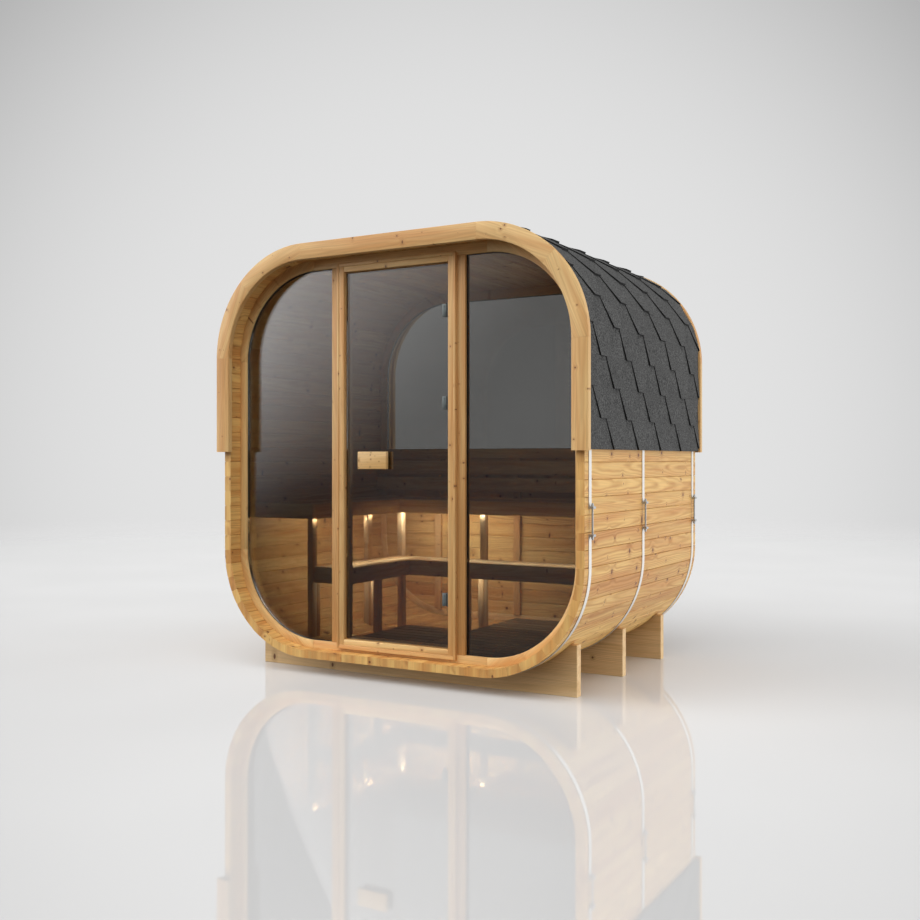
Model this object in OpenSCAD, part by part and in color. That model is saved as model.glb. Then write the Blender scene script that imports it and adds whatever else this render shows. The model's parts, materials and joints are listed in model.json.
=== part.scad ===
// Cube sauna: a round-cornered stave shell on three cradles, shingled over its upper half, with a
// glazed front wall and hinged glass door, a half-glazed rear wall and two levels of benches.
// Millimetres. The origin is on the ground, under the middle of the building. +Z is up and
// the door faces -Y.

/* [Shell] */
// Outer width over the staves
body_w = 2000; // [1800:10:2400]
// Outer height over the staves
body_h = 2000; // [1900:10:2300]
// Length of the staves, front to back
body_d = 1496; // [1400:10:2400]
// Outer radius of the rounded corners
corner_r = 510; // [440:10:540]
// Thickness of the staves
stave_t = 38; // [30:1:46]

/* [Cradles] */
// Height of the shell's underside above the ground
lift = 82; // [60:1:120]
// Height of a cradle board at its ends
cradle_h = 232; // [200:1:280]
// Thickness of a cradle board
cradle_t = 43; // [34:1:60]
// Length of a cradle board
cradle_w = 1772; // [1740:4:1790]
// Distance from the shell's end to the outer face of an end cradle
cradle_inset = 181; // [120:1:240]

/* [Straps] */
// Width of a steel strap
strap_w = 28; // [20:1:40]
// Thickness of a steel strap
strap_t = 3; // [1:0.5:4]
// Distance from the shell's front end to the middle of the front strap
front_strap_inset = 55; // [35:1:90]
// Distance from the shell's rear end to the middle of the rear strap
rear_strap_inset = 55; // [35:1:90]
// Distance of the middle strap in front of the building's middle
middle_strap_shift = 50; // [45:1:90]
// Height of the middle of the tensioners above the ground
tensioner_z = 790; // [700:10:900]
// Free gap between the two ends of a strap
tensioner_gap = 110; // [80:2:160]
// Radius of a tensioner's threaded rod
tensioner_rod_r = 4; // [3:0.5:5]
// Height of a tensioner's lug along the strap
lug_h = 10; // [8:1:18]
// Distance that a tensioner's lug stands out from the strap
lug_d = 20; // [16:1:26]
// Radius of a tensioner's nuts, over the corners
nut_r = 7; // [6:0.5:7.5]
// Height of a tensioner's nuts
nut_h = 8; // [6:0.5:10]
// Length of rod past each nut
rod_tail = 6; // [2:1:12]
// Room left round a strap under the shingles
strap_slack = 0.3; // [0.2:0.1:0.5]

/* [Roof covering] */
// Thickness of the shingle layers over the side walls
roof_t = 27; // [20:1:30]
// Thickness of the shingle layers over the ceiling
roof_top_t = 36; // [26:1:40]
// Radius of the shingles' corners beyond the staves' own
roof_corner_grow = 20; // [12:1:24]
// Height of the shingles' lower edge above the ground
roof_z0 = 1099; // [1000:10:1250]

/* [Fascia] */
// Width of the fascia boards' faces
fascia_w = 79; // [64:1:100]
// Thickness of the fascia boards
fascia_t = 30; // [20:1:40]
// Distance that the fascia stands out past the staves
fascia_proud = 30; // [26:1:40]
// Height of the fascia's lower ends above the ground
fascia_z0 = 1094; // [980:2:1200]

/* [Wall frames] */
// Distance from the shell's front end to the front wall
front_recess = 75; // [60:1:120]
// Distance from the shell's rear end to the rear wall
rear_recess = 75; // [60:1:120]
// Depth of the wall frames
frame_t = 44; // [38:1:60]
// Width of the wall frames at the sides and the bottom
frame_w = 38; // [30:1:50]
// Width of the wall frames along the top
frame_head_w = 50; // [40:1:64]
// Thickness of the fixed panes
pane_t = 8; // [6:1:10]
// Distance from a wall frame's outer face to its panes
pane_setback = 18; // [12:1:22]
// Gap round each pane, which its seal fills
pane_gap = 0.3; // [0.2:0.1:0.5]

/* [Doorway] */
// Clear width of the doorway
door_w = 588; // [540:2:660]
// Width of a door post
post_w = 82; // [70:1:100]
// Width of the casing round the doorway
casing_w = 40; // [30:1:50]
// Thickness of the casing
casing_t = 18; // [12:1:24]
// Overlap of the casing on the wall frame's bottom rail
casing_foot_lap = 23; // [12:1:28]
// Overlap of the casing on the wall frame's top rail
casing_head_lap = 16; // [12:1:28]
// Height of the threshold above the bottom rail
threshold_h = 22; // [16:1:40]
// Height of the head bar below the top rail
head_h = 27; // [20:1:50]

/* [Door] */
// Thickness of the door's glass
door_t = 8; // [6:1:10]
// Distance from the casing's front face to the door's glass
door_setback = 21; // [19:1:26]
// Gap beside the door's glass
door_side_gap = 5.5; // [5:0.5:8]
// Gap above and below the door's glass
door_end_gap = 6; // [5:0.5:10]
// Width of a handle
handle_w = 165; // [120:1:220]
// Height of a handle
handle_h = 84; // [60:1:120]
// Thickness of a handle
handle_t = 20; // [14:1:26]
// Distance from a handle to the glass
handle_standoff = 8; // [5:1:12]
// Distance from the door's free edge to the handle
handle_edge = 83; // [60:1:140]
// Height of the handle's middle above the floor
handle_z = 931; // [850:1:1050]
// Radius of a handle's spacers
handle_spacer_r = 8; // [6:1:12]

/* [Door stop] */
// Width of the bars that the door closes against
stop_w = 12; // [8:1:20]
// Gap between the closed door and the bars
stop_gap = 6; // [5:0.5:8]
// Gap where neighbouring bars meet
stop_joint = 0.5; // [0.3:0.1:1]

/* [Hinges] */
// Height of a hinge
hinge_h = 60; // [48:1:80]
// Width of the hinge plates that clamp the glass
hinge_plate_w = 24; // [22:1:40]
// Thickness of the hinge plates that clamp the glass
hinge_plate_t = 5; // [4:0.5:6]
// Radius of the hinge barrels
hinge_barrel_r = 5; // [4:0.5:6]
// Radius of the hinge pins
hinge_pin_r = 2.2; // [1.5:0.1:2.6]
// Running clearance between the hinge pins and their barrels
hinge_clearance = 0.1; // [0.1:0.1:0.3]
// Distance from the doorway's side to the hinge axis
hinge_axis_x = 9; // [8.5:0.5:12]
// Distance from the front of the glass to the hinge axis
hinge_axis_y = 8; // [7.5:0.5:10]
// Gap between neighbouring barrels, and between a barrel and a plate
barrel_gap = 0.5; // [0.5:0.1:1]
// Distance that a hinge leaf reaches in front of its barrels
leaf_reach = 5; // [2:1:8]
// Thickness of the webs between the barrels and their plates
web_t = 6; // [4:0.5:8]
// Thickness of the hinge leaves on the post
leaf_t = 2.5; // [2:0.5:3]
// Distance of the top hinge below the head bar
top_hinge_drop = 222; // [120:1:300]
// Distance between the two upper hinges
hinge_pitch = 427; // [300:1:600]
// Distance of the lowest hinge above the threshold
foot_hinge_rise = 228; // [120:1:300]

/* [Rear wall] */
// Height of the window's sill rail above the floor
rail_z = 942; // [880:2:1000]
// Height of the window's sill rail itself
rail_h = 56; // [40:1:80]
// Thickness of the rear wall's boards
board_t = 28; // [20:1:30]
// Distance from the rear frame's outer face to the boards
board_setback = 8; // [4:1:12]
// Width of the battens on the boards
batten_w = 41; // [30:1:60]
// Thickness of the battens on the boards
batten_t = 20; // [12:1:24]
// Distance between the battens
batten_pitch = 530; // [480:1:560]
// Distance of the middle batten from the middle of the wall
batten_shift = -15; // [-20:1:20]

/* [Upper bench] */
// Depth of the upper bench from the wall
upper_depth = 380; // [340:1:420]
// Height of the upper bench above the floor
upper_z = 708; // [640:1:800]
// Height of the upper bench's front boards
upper_apron_h = 77; // [60:1:90]
// Distance from the front wall to the upper bench's end
upper_end_gap = 70; // [50:1:120]

/* [Lower bench] */
// Distance that the lower bench stands out past the upper bench
bench_step = 182; // [160:1:220]
// Height of the lower bench above the floor
lower_z = 383; // [340:1:440]
// Height of the lower bench's front boards
lower_apron_h = 83; // [60:1:90]
// Distance from the front wall to the lower bench's end
lower_end_gap = 131; // [110:1:180]

/* [Bench timber] */
// Thickness of the bench slats
slat_t = 28; // [20:1:34]
// Gap between neighbouring slats
slat_gap = 8; // [5:1:12]
// Gap where two front boards meet at a corner
board_joint = 0.5; // [0.3:0.1:1]
// Number of slats across the upper bench
upper_slats = 4; // [3:1:5]
// Number of slats across the lower bench
lower_slats = 2; // [1:1:3]
// Thickness of the benches' front boards
apron_t = 28; // [20:1:34]
// Width of a bench post
leg_w = 32; // [26:1:44]
// Depth of a bench post
leg_d = 42; // [32:1:50]
// Height of the bearers under the slats
bearer_h = 45; // [36:1:50]
// Distance of the first post behind the upper bench's end board
first_post_set = 20; // [10:1:40]
// Distance between the upper bench's first two posts
post_pitch = 506; // [440:2:520]
// Distance of the corner post behind the rear bench's front board
corner_post_set = 53; // [40:1:80]
// Place of the rear bench's post, across from the middle
rear_post_x = -63; // [-90:1:-40]
// Distance of the lower bench's last leg in front of the rear bench's face
end_leg_set = 31; // [20:1:40]
// Distance between the lower bench's legs
lower_leg_pitch = 236; // [200:2:250]
// Distance of the lower bench's right leg from the side wall
right_leg_set = 246; // [180:2:300]
// Depth of the half leg beside the upper bench's first post
half_leg_d = 28; // [16:1:40]
// Thickness of the half legs in front of the other posts
half_leg_t = 19; // [14:1:24]

/* [Backrest] */
// Height of a backrest board
backrest_h = 81; // [60:1:100]
// Thickness of a backrest board
backrest_t = 20; // [16:1:28]
// Gap between the backrest boards
backrest_gap = 18; // [10:1:30]
// Distance from the upper bench to the lower backrest board
backrest_lift = 41; // [30:1:60]
// Distance between the backrest boards and the battens
backrest_standoff = 23; // [8:1:30]
// Gap between the backrest's ends and the side walls
backrest_end_gap = 7; // [4:1:30]

/* [Bench lights] */
// Height of a light strip
light_h = 12; // [8:1:16]
// Depth of a light strip
light_d = 10; // [8:1:14]
// Distance of a light strip above the front boards' lower edge
light_lift = 5; // [2:1:12]
// Gap between a light strip and what lies past its ends
light_gap = 6; // [4:1:12]

/* [Floor grids] */
// Height of the floor grids
grid_h = 30; // [20:1:40]
// Half of the gap between the two floor grids
grid_half_gap = 5; // [3:1:12]
// Gap between the left floor grid and the lower bench's legs
grid_leg_gap = 35; // [5:1:80]
// Gap between the right floor grid and the side wall
grid_wall_gap = 372; // [320:2:450]
// Gap between the floor grids and the front wall
grid_front_gap = 12; // [5:1:40]
// Gap between the left floor grid and the lower bench's face
left_grid_rear_gap = 31; // [10:1:60]
// Gap between the right floor grid and the rear wall's battens
right_grid_rear_gap = 50; // [20:1:120]

/* [Hidden] */
$fn = 96;

// A square larger than any outline, for cutting outlines.
far = 3000;

// The shell's outside and inside.
shell_x = body_w / 2;
shell_y0 = -body_d / 2;
shell_y1 = body_d / 2;
shell_z1 = lift + body_h;
room_x = shell_x - stave_t;
room_r = corner_r - stave_t;
floor_z = lift + stave_t;
ceiling_z = shell_z1 - stave_t;
arc_x = shell_x - corner_r;
arc_low_z = lift + corner_r;
arc_high_z = shell_z1 - corner_r;

// The roof covering's outside.
roof_x = shell_x + roof_t;
roof_z1 = shell_z1 + roof_top_t;

// The middles of the straps, front to back.
strap_ys = [shell_y0 + front_strap_inset, -middle_strap_shift, shell_y1 - rear_strap_inset];
// The two walls' frames.
front_y0 = shell_y0 + front_recess;
front_y1 = front_y0 + frame_t;
rear_y1 = shell_y1 - rear_recess;
rear_y0 = rear_y1 - frame_t;
opening_x = room_x - frame_w;
opening_r = room_r - frame_w;
opening_z0 = floor_z + frame_w;
opening_z1 = ceiling_z - frame_head_w;
frame_arc_z = opening_z1 - opening_r;

// The doorway.
jamb_x = door_w / 2;
post_x = jamb_x + post_w;
casing_y0 = front_y0 - casing_t;
casing_x = jamb_x + casing_w;
casing_z0 = opening_z0 - casing_foot_lap;
casing_z1 = opening_z1 + casing_head_lap;
threshold_z = opening_z0 + threshold_h;
head_z = opening_z1 - head_h;

// The door's glass and hinges. The hinge axis stands in front of the glass.
door_y0 = casing_y0 + door_setback;
door_y1 = door_y0 + door_t;
door_x = jamb_x - door_side_gap;
door_z0 = threshold_z + door_end_gap;
door_z1 = head_z - door_end_gap;
axis_x = jamb_x - hinge_axis_x;
axis_y = door_y0 - hinge_axis_y;
barrel_h = hinge_h / 3;
top_hinge_z = head_z - top_hinge_drop;
hinge_zs = [threshold_z + foot_hinge_rise, top_hinge_z - hinge_pitch, top_hinge_z];
handle_x0 = -door_x + handle_edge;

// The rear wall's boards and window.
board_y1 = rear_y1 - board_setback;
board_y0 = board_y1 - board_t;
batten_y0 = board_y0 - batten_t;
rail_z0 = floor_z + rail_z;
rail_z1 = rail_z0 + rail_h;
batten_xs = [for (i = [-1, 0, 1]) batten_shift + i * batten_pitch];

// The benches. The left benches run along Y and the rear benches along X.
upper_x = -room_x + upper_depth;
upper_y = board_y0 - upper_depth;
upper_end_y = front_y1 + upper_end_gap;
upper_top = floor_z + upper_z;
lower_x = upper_x + bench_step;
lower_y = upper_y - bench_step;
lower_end_y = front_y1 + lower_end_gap;
lower_top = floor_z + lower_z;
apron_back_x = upper_x - apron_t;
apron_back_y = upper_y + apron_t;
post_face_x = apron_back_x - light_d;
post_face_y = apron_back_y + light_d;
leg_face_x = lower_x - apron_t;
leg_face_y = lower_y + apron_t;
backrest_y = batten_y0 - backrest_standoff;
backrest_zs = [for (i = [0, 1]) upper_top + backrest_lift + i * (backrest_h + backrest_gap)];
left_post_ys = [
    upper_end_y + apron_t + first_post_set,
    upper_end_y + apron_t + first_post_set + post_pitch,
    apron_back_y + corner_post_set
];
lower_leg_ys = [for (i = [0, 1]) lower_y - end_leg_set - i * lower_leg_pitch];
rear_leg_xs = [rear_post_x, room_x - right_leg_set];

// A block between two corners.
module block(x0, x1, y0, y1, z0, z1) {
    translate([x0, y0, z0]) cube([x1 - x0, y1 - y0, z1 - z0]);
}

// An upright outline of the XZ plane, carried along Y from y0 to y1.
module run_along_y(y0, y1) {
    translate([0, y1, 0]) rotate([90, 0, 0]) linear_extrude(height = y1 - y0) children();
}

// A rectangle with four round corners.
module rounded_rectangle(x0, x1, z0, z1, r) {
    translate([x0 + r, z0]) square([x1 - x0 - 2 * r, z1 - z0]);
    translate([x0, z0 + r]) square([x1 - x0, z1 - z0 - 2 * r]);
    for (x = [x0 + r, x1 - r], z = [z0 + r, z1 - r])
        translate([x, z]) circle(r = r);
}

// The shell's outer outline, grown all round.
module shell_outline(grow = 0) {
    rounded_rectangle(-shell_x - grow, shell_x + grow, lift - grow, shell_z1 + grow, corner_r + grow);
}

// The outline of the room inside the staves.
module room_outline() {
    rounded_rectangle(-room_x, room_x, floor_z, ceiling_z, room_r);
}

// The outline inside a wall's frame, shrunk all round.
module opening_outline(shrink = 0) {
    x = opening_x - shrink;
    rounded_rectangle(-x, x, opening_z0 + shrink, opening_z1 - shrink, opening_r - shrink);
}

// Keeps the part of an outline that lies past a cut in x and a cut in z.
// side and level are 1 or -1.
module keep_corner(side, level, z_cut) {
    intersection() {
        children();
        translate([side * (arc_x + far / 2), z_cut + level * far / 2]) square(far, center = true);
    }
}

// Keeps the part of a solid that lies inside the room.
module keep_in_room() {
    intersection() {
        children();
        run_along_y(shell_y0, shell_y1) room_outline();
    }
}

// One rounded corner of the shell.
module corner_staves(side, level) {
    run_along_y(shell_y0, shell_y1)
        keep_corner(side, level, level > 0 ? arc_high_z : arc_low_z) difference() {
            shell_outline();
            room_outline();
        }
}

module floor_staves() {
    color("burlywood") block(-arc_x, arc_x, shell_y0, shell_y1, lift, floor_z);
}

module ceiling_staves() {
    color("burlywood") block(-arc_x, arc_x, shell_y0, shell_y1, ceiling_z, shell_z1);
}

module side_wall_staves() {
    color("burlywood") for (side = [0, 1])
        mirror([side, 0, 0]) block(room_x, shell_x, shell_y0, shell_y1, arc_low_z, arc_high_z);
}

module lower_corner_staves() {
    color("tan") for (side = [-1, 1]) corner_staves(side, -1);
}

module upper_corner_staves() {
    color("tan") for (side = [-1, 1]) corner_staves(side, 1);
}

// Boards on edge across the building, cut out on top to the shell's underside.
module cradles() {
    ys = [shell_y0 + cradle_inset, -cradle_t / 2, shell_y1 - cradle_inset - cradle_t];
    color("peru") difference() {
        for (y = ys) block(-cradle_w / 2, cradle_w / 2, y, y + cradle_t, 0, cradle_h);
        run_along_y(shell_y0, shell_y1) shell_outline();
    }
}

// Steel straps round the shell, each open at its tensioner on the right side.
module strap_bands() {
    color("silver") for (y = strap_ys) difference() {
        run_along_y(y - strap_w / 2, y + strap_w / 2) difference() {
            shell_outline(strap_t);
            shell_outline();
        }
        block(shell_x / 2, shell_x * 2, y - strap_w, y + strap_w,
            tensioner_z - tensioner_gap / 2, tensioner_z + tensioner_gap / 2);
    }
}

// A lug on each end of a strap, drawn together by a threaded rod with a nut outside each lug.
module strap_tensioners() {
    lug_x = shell_x + strap_t;
    lug_z = tensioner_gap / 2;
    nut_z = lug_z + lug_h;
    rod_z = nut_z + nut_h + rod_tail;
    color("dimgray") for (y = strap_ys) translate([0, y, tensioner_z]) {
        for (end = [0, 1]) mirror([0, 0, end]) {
            block(lug_x, lug_x + lug_d, -strap_w / 2, strap_w / 2, lug_z, nut_z);
            translate([lug_x + lug_d / 2, 0, nut_z]) cylinder(r = nut_r, h = nut_h, $fn = 6);
        }
        translate([lug_x + lug_d / 2, 0, -rod_z]) cylinder(r = tensioner_rod_r, h = 2 * rod_z);
    }
}

// Shingles over the top and down both sides, laid over the straps. They lift off a little round
// the corners, where each course stays straight.
module roof_shingles() {
    color("dimgray") difference() {
        run_along_y(shell_y0, shell_y1) intersection() {
            difference() {
                rounded_rectangle(-roof_x, roof_x, lift, roof_z1, corner_r + roof_corner_grow);
                shell_outline();
            }
            translate([-far / 2, roof_z0]) square(far);
        }
        for (y = strap_ys)
            run_along_y(y - strap_w / 2 - strap_slack, y + strap_w / 2 + strap_slack)
                shell_outline(strap_t + strap_slack);
    }
}

// The fascia's pieces at one end of the shell, from y0 to y0 + fascia_t.
module fascia_top(y0) {
    block(-arc_x, arc_x, y0, y0 + fascia_t, shell_z1 + fascia_proud - fascia_w, shell_z1 + fascia_proud);
}

module fascia_curves(y0) {
    for (side = [-1, 1])
        run_along_y(y0, y0 + fascia_t) keep_corner(side, 1, arc_high_z) difference() {
            shell_outline(fascia_proud);
            shell_outline(fascia_proud - fascia_w);
        }
}

module fascia_sides(y0) {
    x1 = shell_x + fascia_proud;
    for (side = [0, 1])
        mirror([side, 0, 0]) block(x1 - fascia_w, x1, y0, y0 + fascia_t, fascia_z0, arc_high_z);
}

module front_fascia_top() {
    color("sandybrown") fascia_top(shell_y0 - fascia_t);
}

module front_fascia_curves() {
    color("sandybrown") fascia_curves(shell_y0 - fascia_t);
}

module front_fascia_sides() {
    color("sandybrown") fascia_sides(shell_y0 - fascia_t);
}

module rear_fascia_top() {
    color("sandybrown") fascia_top(shell_y1);
}

module rear_fascia_curves() {
    color("sandybrown") fascia_curves(shell_y1);
}

module rear_fascia_sides() {
    color("sandybrown") fascia_sides(shell_y1);
}

// The four straight bars of a wall's frame.
module frame_bars(y0) {
    for (side = [0, 1])
        mirror([side, 0, 0]) block(opening_x, room_x, y0, y0 + frame_t, arc_low_z, frame_arc_z);
    block(-arc_x, arc_x, y0, y0 + frame_t, floor_z, opening_z0);
    block(-arc_x, arc_x, y0, y0 + frame_t, opening_z1, ceiling_z);
}

// The four curved corners of a wall's frame.
module frame_corners(y0) {
    for (side = [-1, 1], level = [-1, 1])
        run_along_y(y0, y0 + frame_t)
            keep_corner(side, level, level > 0 ? frame_arc_z : arc_low_z) difference() {
                room_outline();
                opening_outline();
            }
}

module front_frame_bars() {
    color("wheat") frame_bars(front_y0);
}

module front_frame_corners() {
    color("wheat") frame_corners(front_y0);
}

module door_posts() {
    color("wheat") for (side = [0, 1])
        mirror([side, 0, 0]) block(jamb_x, post_x, front_y0, front_y1, opening_z0, opening_z1);
}

module door_casing_stiles() {
    color("navajowhite") for (side = [0, 1])
        mirror([side, 0, 0]) block(jamb_x, casing_x, casing_y0, front_y0, threshold_z, head_z);
}

// The casing's top and bottom boards.
module door_casing_rails() {
    color("navajowhite") {
        block(-casing_x, casing_x, casing_y0, front_y0, casing_z0, threshold_z);
        block(-casing_x, casing_x, casing_y0, front_y0, head_z, casing_z1);
    }
}

// The threshold and the head bar between the posts.
module door_rails() {
    color("navajowhite") {
        block(-jamb_x, jamb_x, front_y0, front_y1, opening_z0, threshold_z);
        block(-jamb_x, jamb_x, front_y0, front_y1, head_z, opening_z1);
    }
}

// Bars that the door closes against, at its free edge, its head and its foot.
module door_stops() {
    y0 = door_y1 + stop_gap;
    x0 = stop_w + stop_joint - jamb_x;
    color("navajowhite") {
        block(-jamb_x, stop_w - jamb_x, y0, front_y1, threshold_z, head_z);
        block(x0, jamb_x, y0, front_y1, head_z - stop_w, head_z);
        block(x0, jamb_x, y0, front_y1, threshold_z, threshold_z + stop_w);
    }
}

// The two fixed panes beside the doorway.
module side_panes() {
    pane_y0 = front_y0 + pane_setback;
    color("slategray") for (side = [-1, 1])
        run_along_y(pane_y0, pane_y0 + pane_t) intersection() {
            opening_outline(pane_gap);
            translate([side * (post_x + pane_gap + far), 0]) square(2 * far, center = true);
        }
}

module door_glass() {
    color("slategray") block(-door_x, door_x, door_y0, door_y1, door_z0, door_z1);
}

// A handle board whose back lies handle_standoff from the glass, on two round spacers.
// outward is -1 in front of the door and 1 behind it.
module door_handle(glass_y, outward) {
    z = floor_z + handle_z;
    near = glass_y + outward * handle_standoff;
    out = near + outward * handle_t;
    block(handle_x0, handle_x0 + handle_w, min(near, out), max(near, out),
        z - handle_h / 2, z + handle_h / 2);
    for (x = [handle_x0 + handle_w / 4, handle_x0 + handle_w * 3 / 4])
        translate([x, min(glass_y, near), z]) rotate([-90, 0, 0])
            cylinder(r = handle_spacer_r, h = handle_standoff);
}

module door_outer_handle() {
    color("saddlebrown") door_handle(door_y0, -1);
}

module door_inner_handle() {
    color("saddlebrown") door_handle(door_y1, 1);
}

// Hinge plates on both faces of the glass, each front plate with the hinge's middle barrel.
module door_hinge_clamps() {
    plate_x1 = axis_x - hinge_barrel_r - barrel_gap;
    plate_x0 = plate_x1 - hinge_plate_w;
    plate_y0 = door_y0 - hinge_plate_t;
    h = barrel_h - 2 * barrel_gap;
    color("lightgray") for (z = hinge_zs) translate([0, 0, z]) {
        block(plate_x0, plate_x1, door_y1, door_y1 + hinge_plate_t, -hinge_h / 2, hinge_h / 2);
        difference() {
            union() {
                block(plate_x0, plate_x1, plate_y0, door_y0, -hinge_h / 2, hinge_h / 2);
                block(plate_x0, axis_x, plate_y0 - web_t / 2, plate_y0 + web_t / 4, -h / 2, h / 2);
                translate([axis_x, axis_y, -h / 2]) cylinder(r = hinge_barrel_r, h = h);
            }
            translate([axis_x, axis_y, -h]) cylinder(r = hinge_pin_r + hinge_clearance, h = 2 * h);
        }
    }
}

// Hinge leaves on the right post, each with the hinge's outer barrels and pin.
module door_hinge_leaves() {
    leaf_x0 = jamb_x - leaf_t;
    leaf_y0 = axis_y - hinge_barrel_r - leaf_reach;
    color("gray") for (z = hinge_zs) translate([0, 0, z]) {
        block(leaf_x0, jamb_x, leaf_y0, front_y0, -hinge_h / 2, hinge_h / 2);
        translate([axis_x, axis_y, -hinge_h / 2]) cylinder(r = hinge_pin_r, h = hinge_h);
        for (end = [0, 1]) mirror([0, 0, end]) {
            block(axis_x, leaf_x0 + leaf_t / 2, axis_y - web_t / 2, axis_y + web_t / 2,
                barrel_h / 2, hinge_h / 2);
            translate([axis_x, axis_y, barrel_h / 2]) cylinder(r = hinge_barrel_r, h = barrel_h);
        }
    }
}

module rear_frame_bars() {
    color("wheat") frame_bars(rear_y0);
}

module rear_frame_corners() {
    color("wheat") frame_corners(rear_y0);
}

// The boarded lower half of the rear wall.
module rear_wall_boards() {
    color("burlywood") run_along_y(board_y0, board_y1) intersection() {
        opening_outline();
        translate([0, rail_z0 - far / 2]) square([far, far], center = true);
    }
}

module rear_wall_battens() {
    color("peru") intersection() {
        for (x = batten_xs)
            block(x - batten_w / 2, x + batten_w / 2, batten_y0, board_y0, opening_z0, rail_z0);
        run_along_y(batten_y0, board_y0) opening_outline();
    }
}

module rear_window_rail() {
    color("wheat") block(-opening_x, opening_x, rear_y0, rear_y1, rail_z0, rail_z1);
}

module rear_window_glass() {
    glass_y1 = rear_y1 - pane_setback;
    color("slategray") run_along_y(glass_y1 - pane_t, glass_y1) intersection() {
        opening_outline(pane_gap);
        translate([0, rail_z1 + pane_gap + far / 2]) square([far, far], center = true);
    }
}

// Slats side by side across a bench: count slats between a0 and a1, each drawn by its own
// two edges. along_y is true on the left benches and false on the rear benches.
module slats(a0, a1, b0, b1, top, count, along_y) {
    pitch = (a1 - a0 + slat_gap) / count;
    for (i = [0:count - 1]) {
        s0 = a0 + i * pitch;
        s1 = s0 + pitch - slat_gap;
        if (along_y) block(s0, s1, b0, b1, top - slat_t, top);
        else block(b0, b1, s0, s1, top - slat_t, top);
    }
}

module upper_bench_slats() {
    color("sienna") {
        slats(-room_x, apron_back_x, upper_end_y + apron_t, batten_y0, upper_top, upper_slats, true);
        slats(apron_back_y, batten_y0, apron_back_x + slat_gap, room_x, upper_top, upper_slats, false);
    }
}

// The upper bench's front boards: along the left bench, along the rear bench and across the end.
module upper_bench_aprons() {
    z0 = upper_top - upper_apron_h;
    color("saddlebrown") {
        block(apron_back_x, upper_x, upper_end_y + apron_t + board_joint, apron_back_y, z0, upper_top);
        block(upper_x + board_joint, room_x, upper_y, apron_back_y, z0, upper_top);
        block(-room_x, upper_x, upper_end_y, upper_end_y + apron_t, z0, upper_top);
    }
}

module lower_bench_slats() {
    color("sienna") keep_in_room() {
        slats(post_face_x, leg_face_x, lower_end_y + apron_t, post_face_y, lower_top, lower_slats, true);
        slats(leg_face_y, post_face_y, leg_face_x + slat_gap, room_x, lower_top, lower_slats, false);
    }
}

module lower_bench_aprons() {
    z0 = lower_top - lower_apron_h;
    color("saddlebrown") keep_in_room() {
        block(leg_face_x, lower_x, lower_end_y + apron_t + board_joint, leg_face_y, z0, lower_top);
        block(lower_x + board_joint, room_x, lower_y, leg_face_y, z0, lower_top);
        block(post_face_x, lower_x, lower_end_y, lower_end_y + apron_t, z0, lower_top);
    }
}

// Bearers under the slats: from the walls to the posts, and from the posts to the lower legs.
module bench_bearers() {
    upper_under = upper_top - slat_t;
    lower_under = lower_top - slat_t;
    lower_bearer_ys = concat([lower_end_y + apron_t], lower_leg_ys);
    color("chocolate") {
        for (y = left_post_ys)
            block(-room_x, post_face_x - leg_w, y, y + leg_d, upper_under - bearer_h, upper_under);
        block(rear_post_x - leg_w / 2, rear_post_x + leg_w / 2, post_face_y + leg_d, board_y0,
            upper_under - bearer_h, upper_under);
        block(room_x - leg_w, room_x, apron_back_y, rear_y0, upper_under - bearer_h, upper_under);
        for (y = lower_bearer_ys)
            block(post_face_x, leg_face_x - leg_w, y, y + leg_d, lower_under - bearer_h, lower_under);
        for (x = rear_leg_xs)
            block(x - leg_w / 2, x + leg_w / 2, leg_face_y + leg_d, post_face_y,
                lower_under - bearer_h, lower_under);
    }
}

// Full-height posts under the upper bench.
module bench_posts() {
    color("chocolate") keep_in_room() {
        for (y = left_post_ys)
            block(post_face_x - leg_w, post_face_x, y, y + leg_d, floor_z, upper_top - slat_t);
        block(rear_post_x - leg_w / 2, rear_post_x + leg_w / 2, post_face_y, post_face_y + leg_d,
            floor_z, upper_top - slat_t);
    }
}

// Legs under the lower bench's inner edge, and half legs against the posts at its outer edge.
module lower_bench_legs() {
    leg_ys = concat([lower_end_y + apron_t], lower_leg_ys);
    half_leg_y0 = left_post_ys[0] + leg_d;
    color("chocolate") keep_in_room() {
        for (y = leg_ys)
            block(leg_face_x - leg_w, leg_face_x, y, y + leg_d, floor_z, lower_top - slat_t);
        for (x = rear_leg_xs)
            block(x - leg_w / 2, x + leg_w / 2, leg_face_y, leg_face_y + leg_d,
                floor_z, lower_top - slat_t);
        block(post_face_x - leg_w, post_face_x, half_leg_y0, half_leg_y0 + half_leg_d,
            floor_z, lower_top - slat_t);
        block(post_face_x, post_face_x + half_leg_t, left_post_ys[1], left_post_ys[1] + leg_d,
            floor_z, lower_top - slat_t);
        block(rear_post_x - leg_w / 2, rear_post_x + leg_w / 2, post_face_y - half_leg_t, post_face_y,
            floor_z, lower_top - slat_t - bearer_h);
    }
}

// Two boards along the rear wall, above the upper bench.
module backrest_boards() {
    x1 = room_x - backrest_end_gap;
    color("sienna") for (z = backrest_zs)
        block(-x1, x1, backrest_y - backrest_t, backrest_y, z, z + backrest_h);
}

// Uprights that stand the backrest's boards off the battens.
module backrest_uprights() {
    color("sienna") for (x = batten_xs)
        block(x - batten_w / 2, x + batten_w / 2, backrest_y, batten_y0,
            backrest_zs[0], backrest_zs[1] + backrest_h);
}

// Light strips between the upper bench's front boards and the posts.
module bench_light_strips() {
    z0 = upper_top - upper_apron_h + light_lift;
    z1 = z0 + light_h;
    color("lightyellow") {
        block(post_face_x, apron_back_x, left_post_ys[0] + leg_d / 2, apron_back_y - light_gap, z0, z1);
        block(apron_back_x + light_gap, room_x - leg_w - light_gap, apron_back_y, post_face_y, z0, z1);
    }
}

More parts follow.
